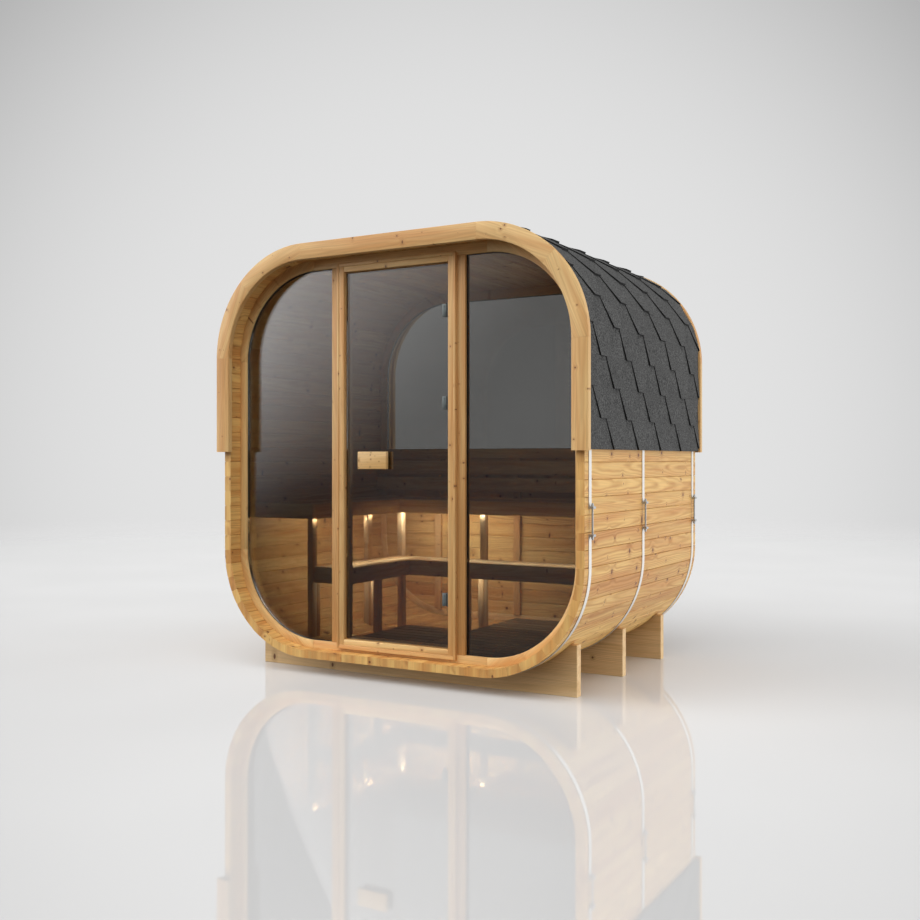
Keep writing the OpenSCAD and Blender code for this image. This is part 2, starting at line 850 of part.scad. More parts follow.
// Walking grids on the floor: one in front of the benches, and one beside it that runs back
// under them.
module floor_grids() {
    y0 = front_y1 + grid_front_gap;
    color("rosybrown") keep_in_room() {
        block(leg_face_x + grid_leg_gap, -grid_half_gap, y0, lower_y - left_grid_rear_gap,
            floor_z, floor_z + grid_h);
        block(grid_half_gap, room_x - grid_wall_gap, y0, batten_y0 - right_grid_rear_gap,
            floor_z, floor_z + grid_h);
    }
}

floor_staves();
ceiling_staves();
side_wall_staves();
lower_corner_staves();
upper_corner_staves();
cradles();
strap_bands();
strap_tensioners();
roof_shingles();
front_fascia_top();
front_fascia_curves();
front_fascia_sides();
rear_fascia_top();
rear_fascia_curves();
rear_fascia_sides();
front_frame_bars();
front_frame_corners();
side_panes();
door_posts();
door_rails();
door_casing_stiles();
door_casing_rails();
door_stops();
door_hinge_leaves();
door_glass();
door_outer_handle();
door_inner_handle();
door_hinge_clamps();
rear_frame_bars();
rear_frame_corners();
rear_wall_boards();
rear_wall_battens();
rear_window_rail();
rear_window_glass();
upper_bench_slats();
upper_bench_aprons();
lower_bench_slats();
lower_bench_aprons();
bench_bearers();
bench_posts();
lower_bench_legs();
backrest_boards();
backrest_uprights();
bench_light_strips();
floor_grids();
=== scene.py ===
import json
import math
import random

import bmesh
import bpy
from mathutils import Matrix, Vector


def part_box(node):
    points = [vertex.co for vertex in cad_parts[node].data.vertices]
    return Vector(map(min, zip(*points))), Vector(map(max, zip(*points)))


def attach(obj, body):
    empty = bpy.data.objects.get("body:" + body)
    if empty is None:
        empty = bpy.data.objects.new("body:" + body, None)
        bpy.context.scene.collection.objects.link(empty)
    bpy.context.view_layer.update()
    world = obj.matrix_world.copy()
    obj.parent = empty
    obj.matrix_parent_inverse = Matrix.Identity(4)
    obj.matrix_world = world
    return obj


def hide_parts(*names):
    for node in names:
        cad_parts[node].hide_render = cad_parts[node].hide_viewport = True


bl_info = {
    "name": "Cube sauna",
    "version": (1, 0, 0),
    "blender": (4, 5, 0),
    "location": "3D View > Sidebar > Sauna",
    "description": "Builds a round-cornered stave sauna with a glass front around its fixed frame",
    "category": "Add Mesh",
}

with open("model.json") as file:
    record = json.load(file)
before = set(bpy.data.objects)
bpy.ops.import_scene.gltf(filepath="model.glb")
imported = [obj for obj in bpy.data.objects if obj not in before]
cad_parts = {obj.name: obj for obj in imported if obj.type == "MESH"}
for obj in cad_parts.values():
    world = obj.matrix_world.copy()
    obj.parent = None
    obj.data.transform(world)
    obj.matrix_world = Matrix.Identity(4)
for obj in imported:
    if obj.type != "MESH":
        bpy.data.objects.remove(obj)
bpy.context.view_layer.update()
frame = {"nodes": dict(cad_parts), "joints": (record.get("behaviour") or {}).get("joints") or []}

X, Y, Z = Vector((1, 0, 0)), Vector((0, 1, 0)), Vector((0, 0, 1))


def linear(code):
    """A linear colour from an sRGB hex code."""
    parts = [int(code[i : i + 2], 16) / 255 for i in (0, 2, 4)]
    return tuple(c / 12.92 if c <= 0.04045 else ((c + 0.055) / 1.055) ** 2.4 for c in parts)


def tones(codes):
    """Linear colours from sRGB hex codes with spaces between them."""
    return [linear(code) for code in codes.split()]


# ---------------------------------------------------------------- sizes read from the frame


def span(name):
    """The lowest and highest corner of a frame node."""
    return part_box(name)


SHELL_X = span("side_wall_staves")[1].x
SHELL_Y0, SHELL_Y1 = span("floor_staves")[0].y, span("floor_staves")[1].y
SHELL_Z0, SHELL_Z1 = span("floor_staves")[0].z, span("ceiling_staves")[1].z
STAVE_T = span("floor_staves")[1].z - SHELL_Z0
ARC_X = span("floor_staves")[1].x
ARC_LOW, ARC_HIGH = span("side_wall_staves")[0].z, span("side_wall_staves")[1].z
CORNER_R = SHELL_X - ARC_X
ROOM_X, ROOM_R = SHELL_X - STAVE_T, CORNER_R - STAVE_T
FLOOR_Z, CEILING_Z = SHELL_Z0 + STAVE_T, SHELL_Z1 - STAVE_T
FRAME_LOW, FRAME_HIGH = span("door_posts")[0].z, span("door_posts")[1].z
FRAME_X = ROOM_X - (FRAME_LOW - FLOOR_Z)
FRAME_R = FRAME_X - ARC_X


# ---------------------------------------------------------------- materials


class Nodes:
    """A node tree to fill. A node's inputs are values, other nodes' sockets, or nodes that stand
    for their first output."""

    def __init__(self, tree):
        self.tree = tree
        tree.nodes.clear()

    def add(self, kind, inputs=None, stops=None, **settings):
        made = self.tree.nodes.new("ShaderNode" + kind)
        for key, value in settings.items():
            setattr(made, key, value)
        for key, value in (inputs or {}).items():
            if isinstance(value, bpy.types.Node):
                value = value.outputs[0]
            if isinstance(value, bpy.types.NodeSocket):
                self.tree.links.new(value, made.inputs[key])
            else:
                made.inputs[key].default_value = value
        for i, (place, colour) in enumerate(stops or []):
            ramp = made.color_ramp.elements
            stop = ramp[i] if i < len(ramp) else ramp.new(place)
            stop.position, stop.color = place, (*colour, 1)
        return made

    def maths(self, operation, a, b=0.0, c=0.0, clamp=False):
        inputs = {0: a, 1: b, 2: c}
        return self.add("Math", inputs, operation=operation, use_clamp=clamp)

    def vector(self, operation, a, b=(0.0, 0.0, 0.0)):
        return self.add("VectorMath", {0: a, 1: b}, operation=operation)

    def noise(self, place, scale, detail):
        return self.add("TexNoise", {"Vector": place, "Scale": scale, "Detail": detail})

    def step(self, value, start, end, low, high):
        """A soft step from low, where the value is start, to high, where it is end."""
        ends = {0: value, 1: start, 2: end, 3: low, 4: high}
        return self.add("MapRange", ends, interpolation_type="SMOOTHSTEP")

    def principled(self, **inputs):
        """The shader of a whole material."""
        inputs = {key.replace("_", " "): value for key, value in inputs.items()}
        self.add("OutputMaterial", {0: self.add("BsdfPrincipled", inputs)})


def blank(name):
    """A new material's empty nodes."""
    made = bpy.data.materials.new(name)
    made.use_nodes = True
    return Nodes(made.node_tree)


def timber(name, pale, ripe, late, roughness, knots, contrast):
    """Wood, solid all through: growth rings round a pith outside each board, so that faces show
    flames and stripes. Rings 3 mm apart are drawn 6 mm apart so that they show. knots gives how
    many stand on a metre along and a metre across, and their radius. late colours the rings' dark
    half, as strongly as contrast says, and ripe the warmer streaks."""
    tree = blank(name)
    maths, vector = tree.maths, tree.vector
    grain = tree.add("Attribute", attribute_name="grain").outputs["Vector"]
    board = tree.add("Attribute", attribute_name="board").outputs["Fac"]
    ring, knot = 0.006, linear("63351A")

    def noise(scale, detail):
        return tree.noise(vector("MULTIPLY", grain, scale), 1.0, detail)

    def fade(value, start, end):
        return tree.step(value, start, end, 1.0, 0.0)

    def mixed(share, a, b):
        return tree.add("Mix", {0: share, 6: a, 7: b}, data_type="RGBA").outputs[2]

    # A branch runs straight through the board at each knot, round or drawn out across it.
    along, across, radius = knots
    cells = vector("MULTIPLY", grain, (along, across, 0.0))
    branch = tree.add("TexVoronoi", {"Vector": cells, "Scale": 1.0})
    away = vector("SUBTRACT", cells, branch.outputs["Position"])
    away = vector("MULTIPLY", away, (1 / along, 1 / across, 0.0))
    pick = tree.add("SeparateColor", {0: branch.outputs["Color"]})
    drawn = tree.add("MapRange", {0: pick.outputs[1], 1: 0.55, 2: 1.0, 3: 1.0, 4: 0.35})
    squeeze = tree.add("CombineXYZ", {0: 1.0, 1: drawn, 2: 1.0})
    away = vector("MULTIPLY", away, squeeze)
    wide = vector("LENGTH", away).outputs["Value"]
    size = maths("MULTIPLY_ADD", pick, 1.3, 0.25)
    wide = maths("DIVIDE", wide, size)
    heart = fade(wide, radius * 0.55, radius)
    halo = fade(wide, radius, radius * 3.2)
    # The rings bend round each knot.
    pull = fade(wide, 0.0, radius * 6)
    # Slow waviness of 14 mm, one wave to about 400 mm of board.
    sway = vector("SUBTRACT", noise((2.6, 9.0, 9.0), 2.0).outputs["Color"], (0.5, 0.5, 0.5))
    sway = vector("MULTIPLY", sway, (0.0, 0.014, 0.014))
    axis = vector("ADD", vector("MULTIPLY", grain, (0.0, 1.0, 1.0)), sway)
    round_pith = vector("LENGTH", axis).outputs["Value"]
    turn = maths("MULTIPLY_ADD", round_pith, 2 * math.pi / ring)
    turn = maths("MULTIPLY_ADD", pull, 4.5, turn)
    rings = maths("POWER", maths("MULTIPLY_ADD", maths("SINE", turn), 0.5, 0.5), 1.6)
    # Bands of fibres about 6 mm wide and 200 mm long: single fibres would be too fine to show.
    fibre = noise((5.0, 170.0, 170.0), 4.0)
    # Sapwood and heartwood: streaks 60 mm wide and 1 m long.
    streak = noise((1.4, 19.0, 19.0), 4.0)
    bands = noise((0.9, 42.0, 42.0), 2.0)
    warm = maths("MULTIPLY_ADD", streak, 3.4, -1.35)
    warm = maths("ADD", warm, maths("MULTIPLY_ADD", board, 0.6, -0.25), clamp=True)
    colour = mixed(warm, (*pale, 1), (*ripe, 1))
    # The rings show in some bands and fade out in others, and the fibres break them up.
    share = maths("MULTIPLY", rings, maths("MULTIPLY_ADD", bands, 2.4, -0.55, clamp=True))
    share = maths("MULTIPLY", share, maths("MULTIPLY_ADD", fibre, 1.3, 0.35))
    share = maths("MULTIPLY", share, contrast, clamp=True)
    colour = mixed(share, colour, (*late, 1))
    value = maths("MULTIPLY_ADD", fibre, 0.5, 0.75)
    value = maths("MULTIPLY", value, maths("MULTIPLY_ADD", board, -0.13, 1.065))
    colour = tree.add("HueSaturation", {"Color": colour, "Value": value})
    colour = mixed(maths("MULTIPLY", halo, 0.4), colour, (*late, 1))
    colour = mixed(maths("MULTIPLY", heart, 0.9), colour, (*knot, 1))
    height = maths("MULTIPLY_ADD", fibre, 0.6, maths("MULTIPLY", rings, 0.4))
    bump = tree.add("Bump", {"Height": height, "Strength": 0.3, "Distance": 0.0005})
    gloss = maths("MULTIPLY_ADD", rings, 0.1, roughness)
    tree.principled(Base_Color=colour, Roughness=gloss, Normal=bump, IOR=1.45)


def glazing(name, tint, mirror):
    """Float glass, polished on both faces: the face mirrors what stands before it, more so at a
    glancing angle, and the body's tint darkens what is behind it."""
    tree = blank(name)
    fresnel = tree.add("Fresnel", {"IOR": 1.5})
    share = tree.maths("MULTIPLY", fresnel, mirror, clamp=True)
    clear = tree.add("BsdfTransparent", {"Color": (*tint, 1)})
    face = tree.add("BsdfAnisotropic", {"Color": (0.95, 0.96, 0.97, 1), "Roughness": 0.0})
    both = tree.add("MixShader", {0: share, 1: clear, 2: face})
    tree.add("OutputMaterial", {0: both})


def plain(name, code, roughness, metallic=0.0, speck=0.06, grit=0.002):
    """A moulded, rolled or plated finish: one colour with faint specks, speck strong and grit
    metres across."""
    tree = blank(name)
    place = tree.add("TexCoord").outputs["Object"]
    noise = tree.noise(place, 1 / grit, 2.0)
    low, high = ([min(1.0, c * (1 + change)) for c in linear(code)] for change in (-speck, speck))
    ramp = tree.add("ValToRGB", {0: noise}, stops=[(0.35, low), (0.65, high)])
    tree.principled(Base_Color=ramp, Roughness=roughness, Metallic=metallic)


def granules(name, dark, light):
    """Mineral granules pressed into bitumen: matt, with grains of 1 to 2 mm that are drawn 6 mm
    across, and a slightly different grey on each shingle."""
    tree = blank(name)
    place = tree.add("TexCoord").outputs["Object"]
    grains = tree.noise(place, 160.0, 4.0)
    cloud = tree.noise(place, 9.0, 2.0)
    board = tree.add("Attribute", attribute_name="board").outputs["Fac"]
    ramp = tree.add("ValToRGB", {0: grains}, stops=[(0.33, dark), (0.71, light)])
    value = tree.maths("MULTIPLY_ADD", cloud, 0.5, 0.68)
    value = tree.maths("MULTIPLY_ADD", board, 0.14, value)
    colour = tree.add("HueSaturation", {"Color": ramp, "Value": value})
    bump = tree.add("Bump", {"Height": grains, "Strength": 0.8, "Distance": 0.0015})
    tree.principled(Base_Color=colour, Roughness=0.92, Normal=bump)


def polished_floor():
    """Polished pale resin: it mirrors what stands on it faintly. From 3.5 m off it fades, and at
    16 m it is gone into the backdrop."""
    tree = blank("polished_resin")
    place = tree.add("TexCoord").outputs["Object"]
    cloud = tree.noise(place, 0.8, 1.0)
    dark, light = tones("DBDBDB DFDFDF")
    ramp = tree.add("ValToRGB", {0: cloud}, stops=[(0.3, dark), (0.7, light)])
    matt = tree.add("BsdfDiffuse", {"Color": ramp})
    mirror = tree.add("BsdfAnisotropic", {"Color": (1, 1, 1, 1), "Roughness": 0.0})
    floor = tree.add("MixShader", {0: 0.26, 1: matt, 2: mirror})
    fade = tree.step(tree.vector("LENGTH", place).outputs["Value"], 3.5, 16.0, 0.0, 1.0)
    clear = tree.add("BsdfTransparent")
    both = tree.add("MixShader", {0: fade, 1: floor, 2: clear})
    tree.add("OutputMaterial", {0: both})
    return bpy.data.materials["polished_resin"]


def lamp_cover(name, colour, strength):
    """An opal acrylic cover over a row of small lamps: it spreads them into one even glow."""
    tree = blank(name)
    lit = {"Emission_Color": (*colour, 1), "Emission_Strength": strength}
    tree.principled(Base_Color=(*colour, 1), Roughness=0.5, **lit)


def finishes():
    """Every material, made once and found again by name."""
    if "oiled_spruce" in bpy.data.materials:
        return bpy.data.materials
    sauna = bpy.context.scene.sauna_finish
    pale, ripe, late = sauna.wood_pale[:], sauna.wood_ripe[:], sauna.wood_late[:]
    # Planed spruce with a clear oil: warm tan with redder streaks and small dark knots.
    timber("oiled_spruce", pale, ripe, late, 0.5, (3.2, 12, 0.0075), 0.55)
    # Narrower trim from the same spruce: straighter grain and pin knots.
    trim = tones("E1BB7E CF995C AD753E")
    timber("planed_spruce", *trim, 0.46, (4.0, 20, 0.0035), 0.34)
    # Sawn spruce that stands on the ground, a little browner and duller.
    sawn = tones("E2C08E CCA36E A47A4A")
    timber("sawn_spruce", *sawn, 0.62, (2.2, 9, 0.0065), 0.4)
    # Bench boards of the same knotty spruce, sanded and left bare.
    timber("sanded_spruce", sauna.bench_wood[:], ripe, late, 0.55, (2.5, 14, 0.0045), 0.34)
    # Spruce for the floor grids, drawn a dark, even brown: painted shade for the floor that lies in
    # the benches' shadow.
    shaded_grid_tones = tones("7C674A 6D5438 5A4029")
    timber("heat_treated_spruce", *shaded_grid_tones, 0.55, (2.5, 14, 0.004), 0.34)
    # Pale alder for the handles: close, quiet grain with pin knots.
    alder = tones("E0BC86 D2A668 B5844A")
    timber("sanded_alder", *alder, 0.42, (14, 40, 0.0022), 0.25)
    # Bronze-grey toughened glass: it darkens the room and mirrors the daylight in front.
    glazing("bronze_float_glass", sauna.glass_tint[:], 1.25)
    # Charcoal shingles: a dry, sparkling grain.
    granules("mineral_bitumen", *tones("0B0B0B 646463"))
    # The cut edge of a bitumen shingle: black and matt. The tabs are drawn thicker than a shingle,
    # so their black edges also paint in the shade of the gap under each tab.
    plain("cut_bitumen", "161616", 0.9)
    # Stainless band, rolled bright: a near-white satin strip.
    plain("rolled_stainless", "DAD7D2", 0.38, metallic=0.75, speck=0.03, grit=0.01)
    # Zinc-plated steel: grey, softly shiny.
    plain("zinc_plated_steel", "AEB2B5", 0.4, metallic=0.8, speck=0.12, grit=0.004)
    # Nickel-plated brass, finely blasted: soft grey with hardly any mirror.
    plain("satin_nickel", "5F6564", 0.45, metallic=0.4, speck=0.04, grit=0.006)
    # Near-black steel for the pins and barrels; the screws' sockets take it too, as painted shade
    # in their recesses.
    plain("blackened_steel", "101011", 0.5, metallic=0.2, speck=0.1, grit=0.004)
    # Extruded EPDM seals: black with a dull sheen.
    plain("black_epdm", "131313", 0.55)
    lamp_cover("opal_acrylic", sauna.light_colour[:], sauna.light_strength)
    return bpy.data.materials


# ---------------------------------------------------------------- making boards


class Boards:
    """Solids gathered into one mesh. Each has its own grain, given as coordinates in metres that
    run along it and round a pith outside it, and its own shade."""

    def __init__(self, seed):
        self.points, self.faces, self.slots, self.grain, self.shade = [], [], [], [], []
        self.rng = random.Random(seed)

    def add(self, bm, along, across, material=0, pith=0.05, lean=0.04, ends=None, shade=None):
        """Takes in a solid. Its faces have their own materials where material is None. The grain
        strays from the long axis by up to lean. ends gives the axes that it follows on the two
        ends, where these show only fine streaks. shade darkens the board: 0 is pale, 1 is the most
        that chance gives."""
        side = along.cross(across)
        middle = sum((v.co for v in bm.verts), Vector()) / len(bm.verts)
        start = self.rng.uniform(0, 60)
        off = self.rng.uniform(-0.03, 0.03)
        off = (off, self.rng.choice((-1, 1)) * self.rng.uniform(0.4, 1.6) * pith)
        tilt = (self.rng.uniform(-lean, lean), self.rng.uniform(-lean, lean))
        chance = self.rng.random()
        shade = chance if shade is None else shade
        first = len(self.points)
        bm.verts.index_update()
        for v in bm.verts:
            self.points.append(v.co[:])
            self.shade.append(shade)
        for f in bm.faces:
            self.faces.append([first + v.index for v in f.verts])
            self.slots.append(f.material_index if material is None else material)
            axes = (along, across, side)
            if ends and abs(f.normal.dot(along)) > 0.9:
                axes = (*ends, along)
            for v in f.verts:
                u, w, d = (axis.dot(v.co - middle) for axis in axes)
                self.grain += (start + u, w + off[0] + tilt[0] * u, d + off[1] + tilt[1] * u)
        bm.free()

    def build(self, name, materials, nodes=(), slot=None, smooth=30, body="building"):
        """Makes the object, which rides on a body and may stand for frame nodes."""
        mesh = bpy.data.meshes.new(name)
        mesh.from_pydata(self.points, [], self.faces)
        grain = mesh.attributes.new("grain", "FLOAT_VECTOR", "CORNER")
        grain.data.foreach_set("vector", self.grain)
        mesh.attributes.new("board", "FLOAT", "POINT").data.foreach_set("value", self.shade)
        for material in materials:
            mesh.materials.append(finishes()[material])
        mesh.polygons.foreach_set("material_index", self.slots)
        mesh.polygons.foreach_set("use_smooth", [True] * len(mesh.polygons))
        mesh.set_sharp_from_angle(angle=math.radians(smooth))
        mesh.update()
        made = bpy.data.objects.new(name, mesh)
        bpy.context.scene.collection.objects.link(made)
        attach(made, body)
        if nodes:
            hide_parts(*nodes)
        return made


def loft(rings, capped=True):
    """A solid skinned over rings of points. Without caps, the last ring joins the first."""
    bm = bmesh.new()
    rings = [[bm.verts.new(p) for p in ring] for ring in rings]
    if capped:
        bm.faces.new(rings[0])
        bm.faces.new(rings[-1][::-1])
    for a, b in zip(rings, rings[1:] if capped else rings[1:] + rings[:1]):
        for i in range(len(a)):
            j = (i + 1) % len(a)
            bm.faces.new((a[i], b[i], b[j], a[j]))
    bmesh.ops.recalc_face_normals(bm, faces=bm.faces)
    return bm


def prism(outline, y0, y1):
    """A solid whose outline in x and z runs from y0 to y1."""
    return loft([[(x, y, z) for x, z in outline] for y in (y0, y1)])


def block(x0, x1, y0, y1, z0, z1):
    """A rectangular solid."""
    return prism([(x0, z0), (x1, z0), (x1, z1), (x0, z1)], y0, y1)


def eased(bm, width, segments=1, along=None):
    """The solid with its sharp edges eased, as a plane or a sander leaves them. Where along gives
    a board's direction at a point, only the edges that follow it are eased, and not its ends."""
    turn, likeness = 0.6, 0.8  # least angle between two faces, least cosine between edge and board

    def follows(e):
        first, last = (v.co for v in e.verts)
        way = (last - first).normalized()
        return along is None or abs(way.dot(along((first + last) / 2))) > likeness

    sharp = [e for e in bm.edges if e.calc_face_angle(0) > turn and follows(e)]
    how = {"segments": segments, "profile": 0.5, "affect": "EDGES", "clamp_overlap": True}
    bmesh.ops.bevel(bm, geom=sharp, offset=width, **how)
    return bm


def solids(name):
    """Each separate solid of a frame node, with its flat faces whole."""
    whole = bmesh.new()
    whole.from_mesh(frame["nodes"][name].data)
    bmesh.ops.remove_doubles(whole, verts=whole.verts, dist=1e-5)
    left = set(whole.faces)
    found = []
    while left:
        group, queue = set(), [left.pop()]
        while queue:
            face = queue.pop()
            group.add(face)
            for other in (f for e in face.edges for f in e.link_faces):
                if other in left:
                    left.discard(other)
                    queue.append(other)
        part = bmesh.new()
        copies = {}
        for face in sorted(group, key=lambda f: f.index):
            for v in face.verts:
                if v not in copies:
                    copies[v] = part.verts.new(v.co)
            part.faces.new([copies[v] for v in face.verts])
        flat = math.radians(0.3)
        bmesh.ops.dissolve_limit(part, angle_limit=flat, verts=part.verts, edges=part.edges)
        found.append(part)
    whole.free()

    def middle(bm):
        return tuple(round(sum(v.co[i] for v in bm.verts) / len(bm.verts), 4) for i in range(3))

    return sorted(found, key=middle)


def extent(bm, axis):
    """How far a solid reaches along an axis: 0, 1 or 2."""
    places = [v.co[axis] for v in bm.verts]
    return min(places), max(places)


def longest(bm):
    """The long and the middle axis of a solid's box."""
    size = [high - low for low, high in (extent(bm, i) for i in range(3))]
    order = sorted(range(3), key=lambda i: -size[i])
    return (X, Y, Z)[order[0]], (X, Y, Z)[order[1]]


def dress(name, node, seed, material, slot, width=0.002, segments=2, shades=None):
    """Stands an eased, grained board in for each solid of a frame node. shades gives the boards'
    own shades, from the least x to the greatest."""
    boards = Boards(seed)
    for i, part in enumerate(solids(node)):
        along, across = longest(part)
        boards.add(eased(part, width, segments), along, across, shade=shades and shades[i])
    boards.build(name, [material], [node], slot)


def coat(node, material):
    """Gives a frame node's own mesh its material."""
    mesh = frame["nodes"][node].data
    mesh.materials.clear()
    mesh.materials.append(finishes()[material])


def arc(cx, cz, r, a0, a1, steps):
    """Points on an arc in x and z, with angles in degrees from +x towards +z."""
    turn = [math.radians(a0 + (a1 - a0) * i / steps) for i in range(steps + 1)]
    return [(cx + r * math.cos(a), cz + r * math.sin(a)) for a in turn]


# ---------------------------------------------------------------- settings


def setting(kind, name, description, default, low, high, **form):
    """A value that the panel shows, with its limits."""
    limits = {"min": low, "max": high}
    return kind(name=name, description=description, default=default, **limits, **form)


def length(*given):
    """A length in metres."""
    return setting(bpy.props.FloatProperty, *given, subtype="DISTANCE", unit="LENGTH")


def number(*given):
    """A whole number of pieces."""
    return setting(bpy.props.IntProperty, *given)


def colour(*given):
    """A linear colour."""
    return setting(bpy.props.FloatVectorProperty, *given, 0, 1, size=3, subtype="COLOR")


def brightness(*given):
    """A strength of light, with no unit."""
    return setting(bpy.props.FloatProperty, *given)


class SaunaSizes(bpy.types.PropertyGroup):
    stave_gap: length("Stave gap", "Open seam between neighbouring staves", 0.0014, 0.0, 0.003)
    stave_bevel: length("Stave bevel", "Width of a stave's bevelled edges", 0.002, 0.0, 0.005)
    flat_staves: number("Staves per flat", "Staves across each flat side of the shell", 13, 6, 24)
    corner_staves: number("Staves per corner", "Staves round each corner of the shell", 11, 5, 20)
    shingle_course: length("Shingle course", "Exposed height of each course", 0.136, 0.08, 0.2)
    shingle_pitch: length("Shingle pitch", "Distance between a course's tabs", 0.305, 0.15, 0.5)
    shingle_butt: length("Shingle butt", "Width of a tab's lower edge", 0.0745, 0.03, 0.15)
    # Tabs are thicker than real shingles, so that their black edges also paint the shade under each
    # tab.
    shingle_thickness: length("Shingle thickness", "Height of a tab's edges", 0.009, 0.002, 0.009)
    wall_board: length("Wall board", "Height of the rear wall's boards", 0.0755, 0.05, 0.2)
    seal_width: length("Seal width", "Width of the seals round the panes", 0.0022, 0.001, 0.02)
    grid_slat: length("Grid slat", "Width of the floor grids' slats", 0.066, 0.03, 0.12)
    grid_gap: length("Grid gap", "Gap between the floor grids' slats", 0.007, 0.003, 0.02)


class SaunaFinish(bpy.types.PropertyGroup):
    wood_pale: colour("Pale wood", "The spruce's lightest colour", linear("E0B56C"))
    wood_ripe: colour("Ripe wood", "The spruce's warmer streaks", linear("CC914D"))
    wood_late: colour("Late wood", "The dark half of each growth ring", linear("A66A33"))
    bench_wood: colour("Bench wood", "The lightest colour of the benches", linear("DDBB85"))
    glass_tint: colour("Glass tint", "Light that one face lets through", (0.605, 0.605, 0.60))
    light_colour: colour("Light colour", "Colour of the bench lights", (0.80, 0.90, 1.0))
    light_strength: brightness("Light strength", "Strength of the bench lights", 14.0, 0.0, 500.0)
    backdrop: brightness("Backdrop", "Strength of the light behind the sauna", 0.72, 0.0, 2.0)


# ---------------------------------------------------------------- the shell


def stave(place, t0, t1, steps, thick=STAVE_T):
    """A stave's end outline, with an open groove along each face at both its edges. place turns a
    distance along the outer face and a depth into a point of the outline."""
    sizes = bpy.context.scene.sauna_sizes
    bevel = sizes.stave_bevel
    # Depth of the grooves, and how far a stave stands off the line that it shares with the next.
    groove, touch = 0.006, 0.00005
    shape = []
    # The outer face from t0 to t1, then the inner one back again.
    for first, last, way, depth in ((t0, t1, 1, lambda d: d), (t1, t0, -1, lambda d: thick - d)):
        start, end = first + way * sizes.stave_gap / 2, last - way * sizes.stave_gap / 2
        inset = way * bevel
        wide = end - start - 2 * inset
        down = [(first + way * touch, groove), (start, groove), (start, bevel)]
        flat = [(start + inset + wide * i / steps, 0) for i in range(steps + 1)]
        up = [(end, bevel), (end, groove), (last - way * touch, groove)]
        shape += [place(t, depth(d)) for t, d in down + flat + up]
    return shape


class SAUNA_OT_staves(bpy.types.Operator):
    """Builds the shell's staves"""

    bl_idname = "sauna.staves"
    bl_label = "Staves"

    def execute(self, context):
        sizes = context.scene.sauna_sizes

        def corner(side, level):
            """Places round a corner: side is left or right, level is low or high."""
            cz = ARC_HIGH if level > 0 else ARC_LOW

            def place(t, d):
                a, r = t / CORNER_R, CORNER_R - d
                return side * (ARC_X + r * math.cos(a)), cz + level * r * math.sin(a)

            return place

        floor = [lambda t, d: (-ARC_X + t, SHELL_Z0 + d)]
        ceiling = [lambda t, d: (-ARC_X + t, SHELL_Z1 - d)]
        walls = [lambda t, d: (-SHELL_X + d, ARC_LOW + t), lambda t, d: (SHELL_X - d, ARC_LOW + t)]
        # A run's length round the shell, its number of staves and the steps across a stave's face.
        flat = (2 * ARC_X, sizes.flat_staves, 1)
        curve = (CORNER_R * math.pi / 2, sizes.corner_staves, 4)
        runs = (
            ("floor_staves", floor, flat),
            ("ceiling_staves", ceiling, flat),
            ("side_wall_staves", walls, flat),
            ("lower_corner_staves", [corner(-1, -1), corner(1, -1)], curve),
            ("upper_corner_staves", [corner(-1, 1), corner(1, 1)], curve),
        )
        for seed, (node, places, (run, count, steps)) in enumerate(runs):
            boards = Boards(101 + seed)
            for place in places:
                for i in range(count):
                    outline = stave(place, run * i / count, run * (i + 1) / count, steps)
                    # The saw leaves the ends slightly uneven.
                    cut = [boards.rng.uniform(0, 0.0008) for _ in (0, 1)]
                    bm = prism(outline, SHELL_Y0 + cut[0], SHELL_Y1 - cut[1])
                    face, back = (place(run * (i + 0.5) / count, d) for d in (0, STAVE_T))
                    outward = Vector((face[0] - back[0], 0, face[1] - back[1])).normalized()
                    boards.add(bm, Y, outward.cross(Y), lean=0.025, ends=(Z, X))
            name = node.replace("_staves", "_stave_boards")
            boards.build(name, ["oiled_spruce"], [node], "stave_wood", smooth=25)
        return {"FINISHED"}


class SAUNA_OT_cradles(bpy.types.Operator):
    """Builds the three cradle boards"""

    bl_idname = "sauna.cradles"
    bl_label = "Cradles"

    def execute(self, context):
        low, high = span("cradles")
        # The right half of the hollow that the shell lies in, from the rim down.
        rim = math.degrees(math.asin((ARC_LOW - high.z) / CORNER_R))
        hollow = arc(ARC_X, ARC_LOW, CORNER_R, -90, -rim, 24)[::-1]
        outline = [(low.x, low.z), (high.x, low.z), (high.x, high.z), *hollow]
        outline += [(-x, z) for x, z in hollow[::-1]] + [(low.x, high.z)]
        boards = Boards(7)
        for part in solids("cradles"):
            board = prism(outline, *extent(part, 1))
            boards.add(eased(board, 0.0018), X, Z, pith=0.06, lean=0.02)
        boards.build("cradle_boards", ["sawn_spruce"], ["cradles"], "cradle_wood")
        return {"FINISHED"}


class SAUNA_OT_straps(bpy.types.Operator):
    """Finishes the steel straps and their tensioners"""

    bl_idname = "sauna.straps"
    bl_label = "Straps"

    def execute(self, context):
        coat("strap_bands", "rolled_stainless")
        coat("strap_tensioners", "zinc_plated_steel")
        return {"FINISHED"}


# ---------------------------------------------------------------- the roof


